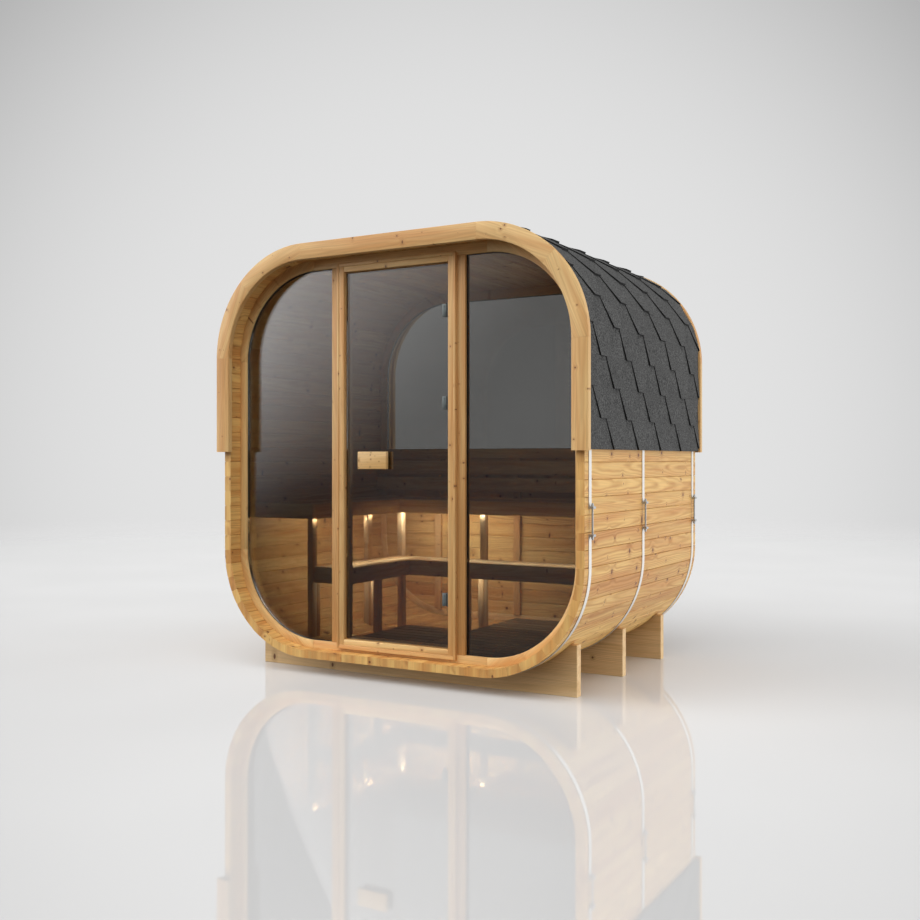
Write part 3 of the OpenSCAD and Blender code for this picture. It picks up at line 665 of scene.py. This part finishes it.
class SAUNA_OT_shingles(bpy.types.Operator):
    """Lays the courses of bitumen shingles up both sides to a ridge"""

    bl_idname = "sauna.shingles"
    bl_label = "Shingles"

    def execute(self, context):
        sizes = context.scene.sauna_sizes
        low, high = span("roof_shingles")
        thick, course, pitch = sizes.shingle_thickness, sizes.shingle_course, sizes.shingle_pitch
        # Thickness of a ridge cap, and of the sheet that shows between a course's tabs.
        cap_t, skin = 0.004, 0.003
        # How far the shingles stand out on the walls, round the corners and on top.
        wall_cover, corner_cover = high.x - SHELL_X - 0.0005, high.z - SHELL_Z1
        top_cover = corner_cover - cap_t - 0.001
        mean_r = CORNER_R + corner_cover
        upright, bend = ARC_HIGH - low.z, mean_r * math.pi / 2
        half = upright + bend + ARC_X

        def ease(t):
            t = min(max(t, 0), 1)
            return t * t * (3 - 2 * t)

        def butt(s):
            """How far a shingle's lower edge stands out. Courses lift off round the corner."""
            rise = ease((s - upright * 0.8) / (bend * 0.35))
            fall = ease((s - upright - bend * 0.85) / (bend * 0.15))
            lift = wall_cover + (corner_cover - wall_cover) * rise
            return lift + (top_cover - corner_cover) * fall

        def place(side, s, out):
            """The point at a distance s up the roof and out from the shell."""
            if s < upright:
                x, z = SHELL_X + out, low.z + s
            elif s < upright + bend:
                a, r = (s - upright) / mean_r, CORNER_R + out
                x, z = ARC_X + r * math.cos(a), ARC_HIGH + r * math.sin(a)
            else:
                x, z = ARC_X - (s - upright - bend), SHELL_Z1 + out
            return Vector((side * x, 0, z))

        boards = Boards(23)

        def sheet(side, ends, rows, depth):
            """One flat sheet between two places up the roof, each a distance and a height.
            rows gives its front and rear edges at shares of the way up. The granules are on its
            outer face."""
            bm = bmesh.new()
            rings = []
            outer, inner = ([place(side, s, o - d) for s, o in ends] for d in (0, depth))
            for share, ya, yb in rows:
                a, b = (v[0].lerp(v[1], share) for v in (outer, inner))
                points = ((a, ya), (a, yb), (b, yb), (b, ya))
                rings.append([bm.verts.new((p.x, y, p.z)) for p, y in points])
            for first, second in zip(rings, rings[1:]):
                for i in range(4):
                    j = (i + 1) % 4
                    face = bm.faces.new((first[i], first[j], second[j], second[i]))
                    # All faces but the outer one take the black edge, which also paints the shade
                    # under each tab.
                    face.material_index = 0 if i == 0 else 1
            for ring in (rings[0], rings[-1]):
                bm.faces.new(ring).material_index = 1
            bmesh.ops.recalc_face_normals(bm, faces=bm.faces)
            boards.add(bm, Y, Z, material=None)

        y0, y1 = SHELL_Y0 + 0.0005, SHELL_Y1 - 0.0005
        first_tab = SHELL_Y0 + 0.161
        for side in (1, -1):
            for k in range(-1, int(half / course)):
                s0, s1, s2 = k * course, (k + 1) * course, min((k + 2) * course, half)
                shift = boards.rng.uniform(-0.003, 0.003)
                if s2 > s1:
                    ends = ((s1, butt(s1) - thick), (s2, butt(s2) - thick - skin))
                    sheet(side, ends, ((0, y0, y1), (1, y0, y1)), skin)
                # Courses are staggered by half a tab. The lowest, -1, is a starter without tabs.
                first = first_tab - (0 if k % 2 else pitch / 2) + shift
                tabs = int((y1 - y0) / pitch) + 2 if k >= 0 else -1
                for n in range(-1, tabs):
                    middle = first + n * pitch

                    def tab(share):
                        wide = sizes.shingle_butt / 2 + (pitch / 2 - sizes.shingle_butt) * share
                        return share, *(min(max(y, y0), y1) for y in (middle - wide, middle + wide))

                    rows = [r for r in (tab(i / 8) for i in range(9)) if r[2] - r[1] > 0.001]
                    if len(rows) > 1:
                        lift = boards.rng.uniform(-0.0012, 0.0)
                        ends = ((s0, butt(s0) + lift), (s1, butt(s1) - thick + 0.0002))
                        sheet(side, ends, rows, thick)
        # Ridge caps, each lapping the one behind it.
        caps, lap, reach = 7, 0.03, 0.16
        z0 = SHELL_Z1 + top_cover + 0.0002
        for i in range(caps):
            ya, yb = (y0 + (y1 - y0) * j / caps for j in (i, i + 1))
            yb = min(yb + lap, y1)
            bm = block(-reach, reach, ya, yb, z0, z0 + cap_t)
            for v in bm.verts:
                v.co.z -= 0.003 * (v.co.y - ya) / (yb - ya)
            for f in bm.faces:
                f.material_index = 0 if f.normal.z > 0.5 else 1
            boards.add(bm, Y, X, material=None)
        covering = ["mineral_bitumen", "cut_bitumen"]
        boards.build("bitumen_shingles", covering, ["roof_shingles"], "bitumen_shingle", smooth=15)
        return {"FINISHED"}


class SAUNA_OT_fascia(bpy.types.Operator):
    """Builds the fascia boards at both ends"""

    bl_idname = "sauna.fascia"
    bl_label = "Fascia"

    def execute(self, context):
        joint = 0.0002
        for seed, end in enumerate(("front", "rear")):
            nodes = [f"{end}_fascia_{part}" for part in ("top", "curves", "sides")]
            (top_low, top_high), (low, high), (side_low, side_high) = map(span, nodes)
            width = top_high.z - top_low.z
            r = high.x - ARC_X
            gap = math.degrees(joint / r)
            boards = Boards(31 + seed)

            def board(bm, along, across, edges, shade):
                boards.add(eased(bm, 0.003, 2, edges), along, across, lean=0.02, shade=shade)

            for side in (-1, 1):
                x0, x1 = sorted((side * side_high.x, side * (side_high.x - width)))
                foot = block(x0, x1, low.y, high.y, side_low.z, side_high.z - joint)
                board(foot, Z, X, lambda p: Z, 0.55)
                # Two boards round each corner, of 45 degrees each.
                for a in (0, 45):
                    outer, inner = (
                        arc(ARC_X, ARC_HIGH, r - w, a + gap, a + 45 - gap, 16) for w in (0, width)
                    )
                    curve = prism([(side * x, z) for x, z in outer + inner[::-1]], low.y, high.y)
                    mid = math.radians(a + 22.5)
                    along = Vector((-side * math.sin(mid), 0, math.cos(mid)))

                    def round_corner(p):
                        spoke = p - Vector((side * ARC_X, p.y, ARC_HIGH))
                        return spoke.cross(Y).normalized()

                    board(curve, along, along.cross(Y), round_corner, 0.45)
            beam_x = (top_low.x + joint, top_high.x - joint)
            board(block(*beam_x, low.y, high.y, top_low.z, top_high.z), X, Z, lambda p: X, 0.5)
            boards.build(end + "_fascia_boards", ["planed_spruce"], nodes, "trim_wood", smooth=35)
        return {"FINISHED"}


# ---------------------------------------------------------------- the walls


def frame_arc_centre(level):
    """Height of the centre of the wall frame's inner arc."""
    return FRAME_HIGH - FRAME_R if level > 0 else FRAME_LOW + FRAME_R


class SAUNA_OT_wall_frames(bpy.types.Operator):
    """Builds the frames of the front and rear walls"""

    bl_idname = "sauna.wall_frames"
    bl_label = "Wall frames"

    def execute(self, context):
        for seed, end in enumerate(("front", "rear")):
            nodes = [end + "_frame_bars", end + "_frame_corners"]
            low, high = span(nodes[0])
            boards = Boards(41 + seed)

            def board(bm, along, left):
                # The left side's boards are drawn paler: painted light that brightens that side of
                # each frame.
                shade = 0.2 if left else None
                boards.add(eased(bm, 0.002, 2), along, Y, lean=0.02, shade=shade)

            for part in solids(nodes[0]):
                board(part, longest(part)[0], sum(v.co.x for v in part.verts) < -0.1)
            for side in (-1, 1):
                for level in (-1, 1):
                    cz, room_z = frame_arc_centre(level), ARC_HIGH if level > 0 else ARC_LOW
                    outer = arc(ARC_X, room_z, ROOM_R, 0, level * 90, 28)
                    inner = arc(ARC_X, cz, FRAME_R, 0, level * 90, 28)
                    if abs(cz - room_z) > 1e-5:
                        outer = [(ROOM_X, cz)] + outer
                    corner = prism([(side * x, z) for x, z in outer + inner[::-1]], low.y, high.y)
                    board(corner, Vector((-side, 0, level)).normalized(), side < 0)
            boards.build(end + "_wall_frame", ["planed_spruce"], nodes, "trim_wood", smooth=35)
        return {"FINISHED"}


class SAUNA_OT_doorway(bpy.types.Operator):
    """Builds the posts, rails, casing and stops round the doorway"""

    bl_idname = "sauna.doorway"
    bl_label = "Doorway"

    def execute(self, context):
        trim = ("planed_spruce", "trim_wood")
        dress("door_post_boards", "door_posts", 51, *trim, shades=(1.3, 1.5))
        dress("door_rail_boards", "door_rails", 52, *trim)
        dress("door_stop_bars", "door_stops", 53, *trim, width=0.001, segments=1)
        low, high = span("door_casing_rails")
        opening = span("door_casing_stiles")
        door_x = span("door_rails")[1].x
        # Each board of the casing has a raised outer strip and an inner one that is set back, with
        # a seam between the two.
        step, seam = 0.0025, 0.0004
        strip_x, foot_z, head_z = high.x - 0.012, low.z + 0.0195, high.z - 0.0155
        boards = Boards(54)

        def piece(x0, x1, z0, z1, back, along, across, shade=None):
            x0, x1 = sorted((x0, x1))
            bm = eased(block(x0, x1, low.y + back, high.y, z0, z1), 0.0018, 2)
            boards.add(bm, along, across, lean=0.02, shade=shade)

        for side, shade in ((-1, 0.9), (1, 1.0)):
            piece(side * (strip_x + seam), side * high.x, low.z, high.z, 0.0, Z, X, shade)
            inner = (side * door_x, side * strip_x, foot_z + seam, head_z - seam)
            piece(*inner, step, Z, X, shade)
        piece(-strip_x, strip_x, low.z, foot_z, 0.0, X, Z)
        piece(-door_x, door_x, foot_z + seam, opening[0].z, step, X, Z)
        piece(-strip_x, strip_x, head_z, high.z, 0.0, X, Z)
        piece(-door_x, door_x, opening[1].z, head_z - seam, step, X, Z)
        nodes = ["door_casing_stiles", "door_casing_rails"]
        boards.build("door_casing_boards", ["planed_spruce"], nodes, "trim_wood", smooth=35)
        return {"FINISHED"}


def pane_outline(node, inset, side):
    """A fixed pane's edge, moved in by inset: the rear window's, or a side pane's on one side."""
    r = FRAME_R - inset
    high = arc(ARC_X, frame_arc_centre(1), r, 0, 90, 20)
    if node == "side_panes":
        x0 = span("door_posts")[1].x + inset
        low = arc(ARC_X, frame_arc_centre(-1), r, -90, 0, 20)
        points = [(x0, FRAME_LOW + inset)] + low + high + [(x0, FRAME_HIGH - inset)]
        return [(side * x, z) for x, z in points]
    z0 = span("rear_window_rail")[1].z + inset
    x1 = FRAME_X - inset
    return [(-x1, z0), (x1, z0)] + high + [(-x, z) for x, z in high[::-1]]


class SAUNA_OT_glazing(bpy.types.Operator):
    """Finishes the panes and builds the seals round the fixed ones"""

    bl_idname = "sauna.glazing"
    bl_label = "Glazing"

    def execute(self, context):
        for node in ("side_panes", "door_glass", "rear_window_glass"):
            coat(node, "bronze_float_glass")
        # Each seal is a flat ring on a face of the pane.
        thick, clear = 0.004, 0.0002
        insets = (clear, context.scene.sauna_sizes.seal_width)
        boards = Boards(61)
        for node, side in (("side_panes", 1), ("side_panes", -1), ("rear_window_glass", 1)):
            low, high = span(node)
            outer, inner = (pane_outline(node, inset, side) for inset in insets)
            for y0, y1 in ((low.y - thick, low.y - clear), (high.y + clear, high.y + thick)):
                corners = ((outer, y0), (inner, y0), (inner, y1), (outer, y1))
                rings = [[(x, y, z) for x, z in line] for line, y in corners]
                boards.add(loft(rings, capped=False), X, Y)
        boards.build("pane_seals", ["black_epdm"], smooth=40)
        return {"FINISHED"}


class SAUNA_OT_rear_wall(bpy.types.Operator):
    """Builds the rear wall's boards, battens and window rail"""

    bl_idname = "sauna.rear_wall"
    bl_label = "Rear wall"

    def execute(self, context):
        low, high = span("rear_wall_boards")
        count = round((high.z - low.z) / context.scene.sauna_sizes.wall_board)
        tall = (high.z - low.z) / count

        def reach(z):
            """Half the wall's width at a height: it narrows between the lower corners."""
            drop = frame_arc_centre(-1) - z
            return ARC_X + math.sqrt(max(FRAME_R**2 - drop**2, 0)) if drop > 0 else FRAME_X

        boards = Boards(71)
        for i in range(count):
            z0, z1 = low.z + i * tall, low.z + (i + 1) * tall
            profile = stave(lambda t, d: (high.y - d, t), z0, z1, 5, high.y - low.y)
            ends = [[(side * (reach(z) - 0.0003), y, z) for y, z in profile] for side in (-1, 1)]
            boards.add(loft(ends), X, Z, lean=0.03)
        boards.build("rear_wall_planks", ["oiled_spruce"], ["rear_wall_boards"], "stave_wood")
        trim = ("planed_spruce", "trim_wood")
        dress("rear_wall_batten_boards", "rear_wall_battens", 72, *trim)
        dress("rear_window_sill", "rear_window_rail", 73, *trim)
        return {"FINISHED"}


# ---------------------------------------------------------------- the door


def disc(centre, r, y0, y1, steps=24):
    """A short cylinder that lies along y."""
    return prism(arc(*centre, r, 0, 360 - 360 / steps, steps - 1), y0, y1)


def barrel(x, y, r, z0, z1, steps=28):
    """An upright cylinder."""
    turn = [2 * math.pi * i / steps for i in range(steps)]
    return loft([[(x + r * math.cos(a), y + r * math.sin(a), z) for a in turn] for z in (z0, z1)])


class SAUNA_OT_handles(bpy.types.Operator):
    """Builds the wooden handles on both faces of the door"""

    bl_idname = "sauna.handles"
    bl_label = "Door handles"

    def execute(self, context):
        glass = span("door_glass")
        # How far a handle stands off the glass on its two steel spacers, and their radius.
        stand, spacer_r = 0.008, 0.008
        for seed, name in enumerate(("door_outer_handle", "door_inner_handle")):
            low, high = span(name)
            wood, steel = (low.y + stand, high.y), (low.y, low.y + stand)
            if high.y <= glass[0].y + 1e-4:
                wood, steel = (low.y, high.y - stand), (high.y - stand, high.y)
            boards = Boards(81 + seed)
            bar = block(low.x, high.x, *wood, low.z, high.z)
            boards.add(eased(bar, 0.003, 3), X, Z, lean=0.03)
            for share in (0.25, 0.75):
                place = (low.x + (high.x - low.x) * share, (low.z + high.z) / 2)
                boards.add(disc(place, spacer_r, *steel), X, Z, material=1)
            finish = ["sanded_alder", "zinc_plated_steel"]
            boards.build(name + "_block", finish, [name], "handle_wood", smooth=40, body="door")
        return {"FINISHED"}


class SAUNA_OT_hinges(bpy.types.Operator):
    """Builds the three hinges: plates on the door and leaves on the post"""

    bl_idname = "sauna.hinges"
    bl_label = "Hinges"

    def execute(self, context):
        ax, ay = frame["joints"][0]["pos_m"][:2]
        glass = span("door_glass")
        clamp_low, clamp_high = span("door_hinge_clamps")
        leaf_low, leaf_high = span("door_hinge_leaves")
        heights = {round(sum(extent(s, 2)) / 2, 4) for s in solids("door_hinge_leaves")}
        # The barrel's radius, the hinge's height and that of each of its three knuckles.
        r, tall = ax - leaf_low.x, 0.06
        third = tall / 3
        gap, clear = 0.0005, 0.0002
        plate_x1 = ax - r - gap
        face = ay + 0.003
        plates = ((face, glass[0].y - clear), (glass[1].y + clear, clamp_high.y))
        # Thickness of a leaf, which is half a tongue's, and the screws' places and radii.
        web, screw_x, screw_z = 0.0025, (clamp_low.x + plate_x1) / 2, 0.018
        screw_r, socket_r = 0.0042, 0.0019
        door, post = Boards(91), Boards(92)
        for z in sorted(heights):
            z0, z1 = z - tall / 2, z + tall / 2
            for y0, y1 in plates:
                door.add(eased(block(clamp_low.x, plate_x1, y0, y1, z0, z1), 0.0012, 2), Z, X)
            for dz in (-screw_z, screw_z):
                screw = (screw_x, z + dz)
                head = disc(screw, screw_r, face - 0.001, face + 0.001)
                door.add(eased(head, 0.0004), Z, X)
                # Each socket is a thin black hexagon on the screw's head: painted shade for its
                # recess.
                socket = disc(screw, socket_r, face - 0.00115, face - 0.0008, 6)
                door.add(socket, Z, X, material=1)
            knuckle = (z - third / 2 + gap, z + third / 2 - gap)
            door.add(block(plate_x1 - 0.002, ax, ay - web, ay + 0.0045, *knuckle), Z, X)
            door.add(barrel(ax, ay, r, *knuckle), Z, X, material=1)
            leaf = block(leaf_high.x - web, leaf_high.x, leaf_low.y, leaf_high.y, z0, z1)
            post.add(eased(leaf, 0.0006), Z, Y)
            for end in (-1, 1):
                knuckle = sorted((z + end * third / 2, z + end * tall / 2))
                post.add(barrel(ax, ay, r, *knuckle), Z, X, material=1)
                post.add(block(ax, leaf_high.x - 0.001, ay - web, ay + web, *knuckle), Z, X)
                cap = sorted((z + end * tall / 2, z + end * (tall / 2 + 0.0015)))
                post.add(barrel(ax, ay, r * 0.6, *cap, 20), Z, X)
        steel = ["satin_nickel", "blackened_steel"]
        finish = {"materials": steel, "slot": "hinge_chrome", "smooth": 40}
        door.build("door_hinge_plates", nodes=["door_hinge_clamps"], body="door", **finish)
        post.build("door_hinge_post_leaves", nodes=["door_hinge_leaves"], **finish)
        return {"FINISHED"}


# ---------------------------------------------------------------- the room


class SAUNA_OT_benches(bpy.types.Operator):
    """Builds both benches, their frames and the backrest"""

    bl_idname = "sauna.benches"
    bl_label = "Benches"

    def execute(self, context):
        nodes = """upper_bench_slats upper_bench_aprons lower_bench_slats lower_bench_aprons
            bench_bearers bench_posts lower_bench_legs backrest_boards backrest_uprights"""
        for seed, node in enumerate(nodes.split()):
            dress(node + "_planed", node, 111 + seed, "sanded_spruce", "bench_wood", width=0.003)
        return {"FINISHED"}


class SAUNA_OT_floor_grids(bpy.types.Operator):
    """Builds the slatted floor grids"""

    bl_idname = "sauna.floor_grids"
    bl_label = "Floor grids"

    def execute(self, context):
        gap, slat = context.scene.sauna_sizes.grid_gap, context.scene.sauna_sizes.grid_slat
        top = span("floor_grids")[1].z
        under = top - 0.018
        boards = Boards(131)
        for part in solids("floor_grids"):
            (x0, x1), (y0, y1) = extent(part, 0), extent(part, 1)
            count = round((y1 - y0 + gap) / (slat + gap))
            pitch = (y1 - y0 + gap) / count
            for i in range(count):
                bm = block(x0, x1, y0 + i * pitch, y0 + (i + 1) * pitch - gap, under, top)
                boards.add(eased(bm, 0.002), X, Y)
            # Three bearers below the slats, clear of the shell's corner.
            for share in (0.1, 0.5, 0.9):
                x = min(x0 + (x1 - x0) * share, ARC_X - 0.04)
                bearer = block(x - 0.016, x + 0.016, y0 + 0.01, y1 - 0.01, FLOOR_Z, under)
                boards.add(bearer, Y, X)
        # The slats' dark brown wood is painted shade.
        boards.build("floor_grid_slats", ["heat_treated_spruce"], ["floor_grids"], "grid_wood")
        return {"FINISHED"}


class SAUNA_OT_bench_lights(bpy.types.Operator):
    """Builds the light strips under the upper bench"""

    bl_idname = "sauna.bench_lights"
    bl_label = "Bench lights"

    def execute(self, context):
        cover_t = 0.006
        boards = Boards(141)
        for part in solids("bench_light_strips"):
            along, across = longest(part)
            top = extent(part, 2)[1]
            for v in part.verts:
                v.co.z = max(v.co.z, top - cover_t)
            boards.add(eased(part, 0.001, 2), along, across)
        nodes = ["bench_light_strips"]
        strips = boards.build("bench_light_covers", ["opal_acrylic"], nodes, smooth=40)
        strips.visible_glossy = False
        return {"FINISHED"}


# ---------------------------------------------------------------- the studio


class SAUNA_OT_stage(bpy.types.Operator):
    """Sets the pale floor, the soft studio light and the camera"""

    bl_idname = "sauna.stage"
    bl_label = "Stage"

    def execute(self, context):
        scene = context.scene
        mesh = bpy.data.meshes.new("studio_floor")
        wide = 60.0
        corners = [(x * wide, y * wide, 0) for x, y in ((-1, -1), (1, -1), (1, 1), (-1, 1))]
        mesh.from_pydata(corners, [], [(0, 1, 2, 3)])
        mesh.materials.append(polished_floor())
        floor = bpy.data.objects.new("studio_floor", mesh)
        scene.collection.objects.link(floor)
        floor.visible_diffuse = floor.visible_glossy = floor.visible_shadow = False

        world = bpy.data.worlds.new("studio")
        scene.world = world
        world.use_nodes = True
        tree = Nodes(world.node_tree)
        ray = tree.add("TexCoord").outputs["Generated"]

        def lobe(direction, start, end, strength):
            """Soft light from one direction, from nothing at start to its full strength at end."""
            turned = tree.vector("DOT_PRODUCT", ray, Vector(direction).normalized())
            return tree.step(turned.outputs["Value"], start, end, 0.0, strength)

        # The backdrop, a light above the front, softboxes to the left and right, a light on the far
        # left and a pale wall in front, which the panes mirror faintly. total starts as the light
        # that comes from everywhere.
        lights = (
            lobe((-0.5, 0.866, 0.0), 0.71, 0.985, scene.sauna_finish.backdrop),
            lobe((0.1, -0.55, 0.83), 0.68, 1.0, 2.7),
            lobe((-0.72, -0.55, 0.42), 0.85, 0.96, 2.35),
            lobe((0.88, 0.43, -0.16), 0.30, 1.0, 1.66),
            lobe((-1.0, -0.1, 0.2), 0.78, 1.0, 2.1),
            lobe((-0.44, -0.895, -0.06), 0.975, 0.995, 0.2),
        )
        total = 0.045
        for light in lights:
            total = tree.maths("ADD", total, light)
        sky = tree.add("Background", {"Color": (1, 1, 1, 1), "Strength": total})
        tree.add("OutputWorld", {0: sky})

        # Faint lights inside, each with its size, power, place and aim. The first shows the ceiling
        # through the panes, the next two the walls below the upper bench, the seat lights the lower
        # bench's top, and the last two the walls below that.
        lamps = [
            ("studio_room_light", (0.9, 0.6), 2.1, (0.12, -0.25, 0.9), (0, 0, 1)),
            ("studio_bench_light", (0.5, 0.02), 3.0, (-0.35, 0.31, 0.73), (0, 1, -0.3)),
            ("studio_side_light", (0.8, 0.02), 1.8, (-0.63, -0.1, 0.73), (-1, 0, -0.3)),
            ("studio_rear_seat_light", (1.3, 0.02), 1.3, (0.24, 0.18, 0.74), (0, 0, -1)),
            ("studio_left_seat_light", (0.02, 0.7), 1.1, (-0.51, -0.1, 0.74), (0, 0, -1)),
            ("studio_low_light", (0.7, 0.02), 1.7, (-0.04, 0.18, 0.4), (0, 1, 0.0)),
            ("studio_left_light", (0.6, 0.02), 1.3, (-0.5, -0.1, 0.4), (-1, 0, 0.0)),
        ]
        # The upper bench's posts are lit one by one, from close to their tops.
        posts = (
            ((-0.608, -0.49), (-1, 0.0, -0.8)),
            ((-0.608, 0.016), (-1, 0.0, -0.8)),
            ((-0.606, 0.35), (-1, 0.3, -0.8)),
            ((-0.063, 0.283), (0, 1, -0.8)),
        )
        for i, (place, aim) in enumerate(posts):
            lamps.append((f"studio_post_light_{i}", (0.036, 0.01), 0.06, (*place, 0.748), aim))
        for name, size, energy, place, aim in lamps:
            lamp = bpy.data.lights.new(name, "AREA")
            lamp.shape, (lamp.size, lamp.size_y), lamp.energy = "RECTANGLE", size, energy
            lamp.color = (0.80, 0.89, 1.0)
            lamp.spread = math.radians(55) if "seat" in name else math.pi
            fill = bpy.data.objects.new(name, lamp)
            fill.location = place
            fill.rotation_euler = Vector(aim).to_track_quat("-Z", "Y").to_euler()
            fill.visible_camera = fill.visible_glossy = fill.visible_transmission = False
            scene.collection.objects.link(fill)

        camera = bpy.data.cameras.new("studio_camera")
        camera.lens, camera.sensor_width, camera.shift_x = 43.18, 36.0, 0.0049
        camera.clip_end = 200.0
        holder = bpy.data.objects.new("studio_camera", camera)
        holder.location = (2.8657, -5.0636, 1.0531)
        holder.rotation_euler = (math.pi / 2, 0, math.radians(30.05))
        scene.collection.objects.link(holder)
        scene.camera = holder
        scene.view_settings.view_transform = "Standard"
        return {"FINISHED"}


class SAUNA_PT_panel(bpy.types.Panel):
    """Lists the sauna's pieces and settings"""

    bl_idname = "SAUNA_PT_panel"
    bl_label = "Cube sauna"
    bl_space_type = "VIEW_3D"
    bl_region_type = "UI"
    bl_category = "Sauna"

    def draw(self, context):
        for group in (context.scene.sauna_sizes, context.scene.sauna_finish):
            for key in group.__annotations__:
                self.layout.prop(group, key)
        for piece in OPERATORS:
            self.layout.operator(piece.bl_idname)


OPERATORS = (
    SAUNA_OT_stage,
    SAUNA_OT_staves,
    SAUNA_OT_cradles,
    SAUNA_OT_straps,
    SAUNA_OT_shingles,
    SAUNA_OT_fascia,
    SAUNA_OT_wall_frames,
    SAUNA_OT_doorway,
    SAUNA_OT_glazing,
    SAUNA_OT_rear_wall,
    SAUNA_OT_handles,
    SAUNA_OT_hinges,
    SAUNA_OT_benches,
    SAUNA_OT_floor_grids,
    SAUNA_OT_bench_lights,
)
CLASSES = (SaunaSizes, SaunaFinish, *OPERATORS, SAUNA_PT_panel)


def register():
    for cls in CLASSES:
        bpy.utils.register_class(cls)
    bpy.types.Scene.sauna_sizes = bpy.props.PointerProperty(type=SaunaSizes)
    bpy.types.Scene.sauna_finish = bpy.props.PointerProperty(type=SaunaFinish)


def unregister():
    del bpy.types.Scene.sauna_finish
    del bpy.types.Scene.sauna_sizes
    for cls in reversed(CLASSES):
        bpy.utils.unregister_class(cls)


def main():
    register()
    for piece in OPERATORS:
        group, name = piece.bl_idname.split(".")
        getattr(getattr(bpy.ops, group), name)()


if __name__ == "__main__":
    main()
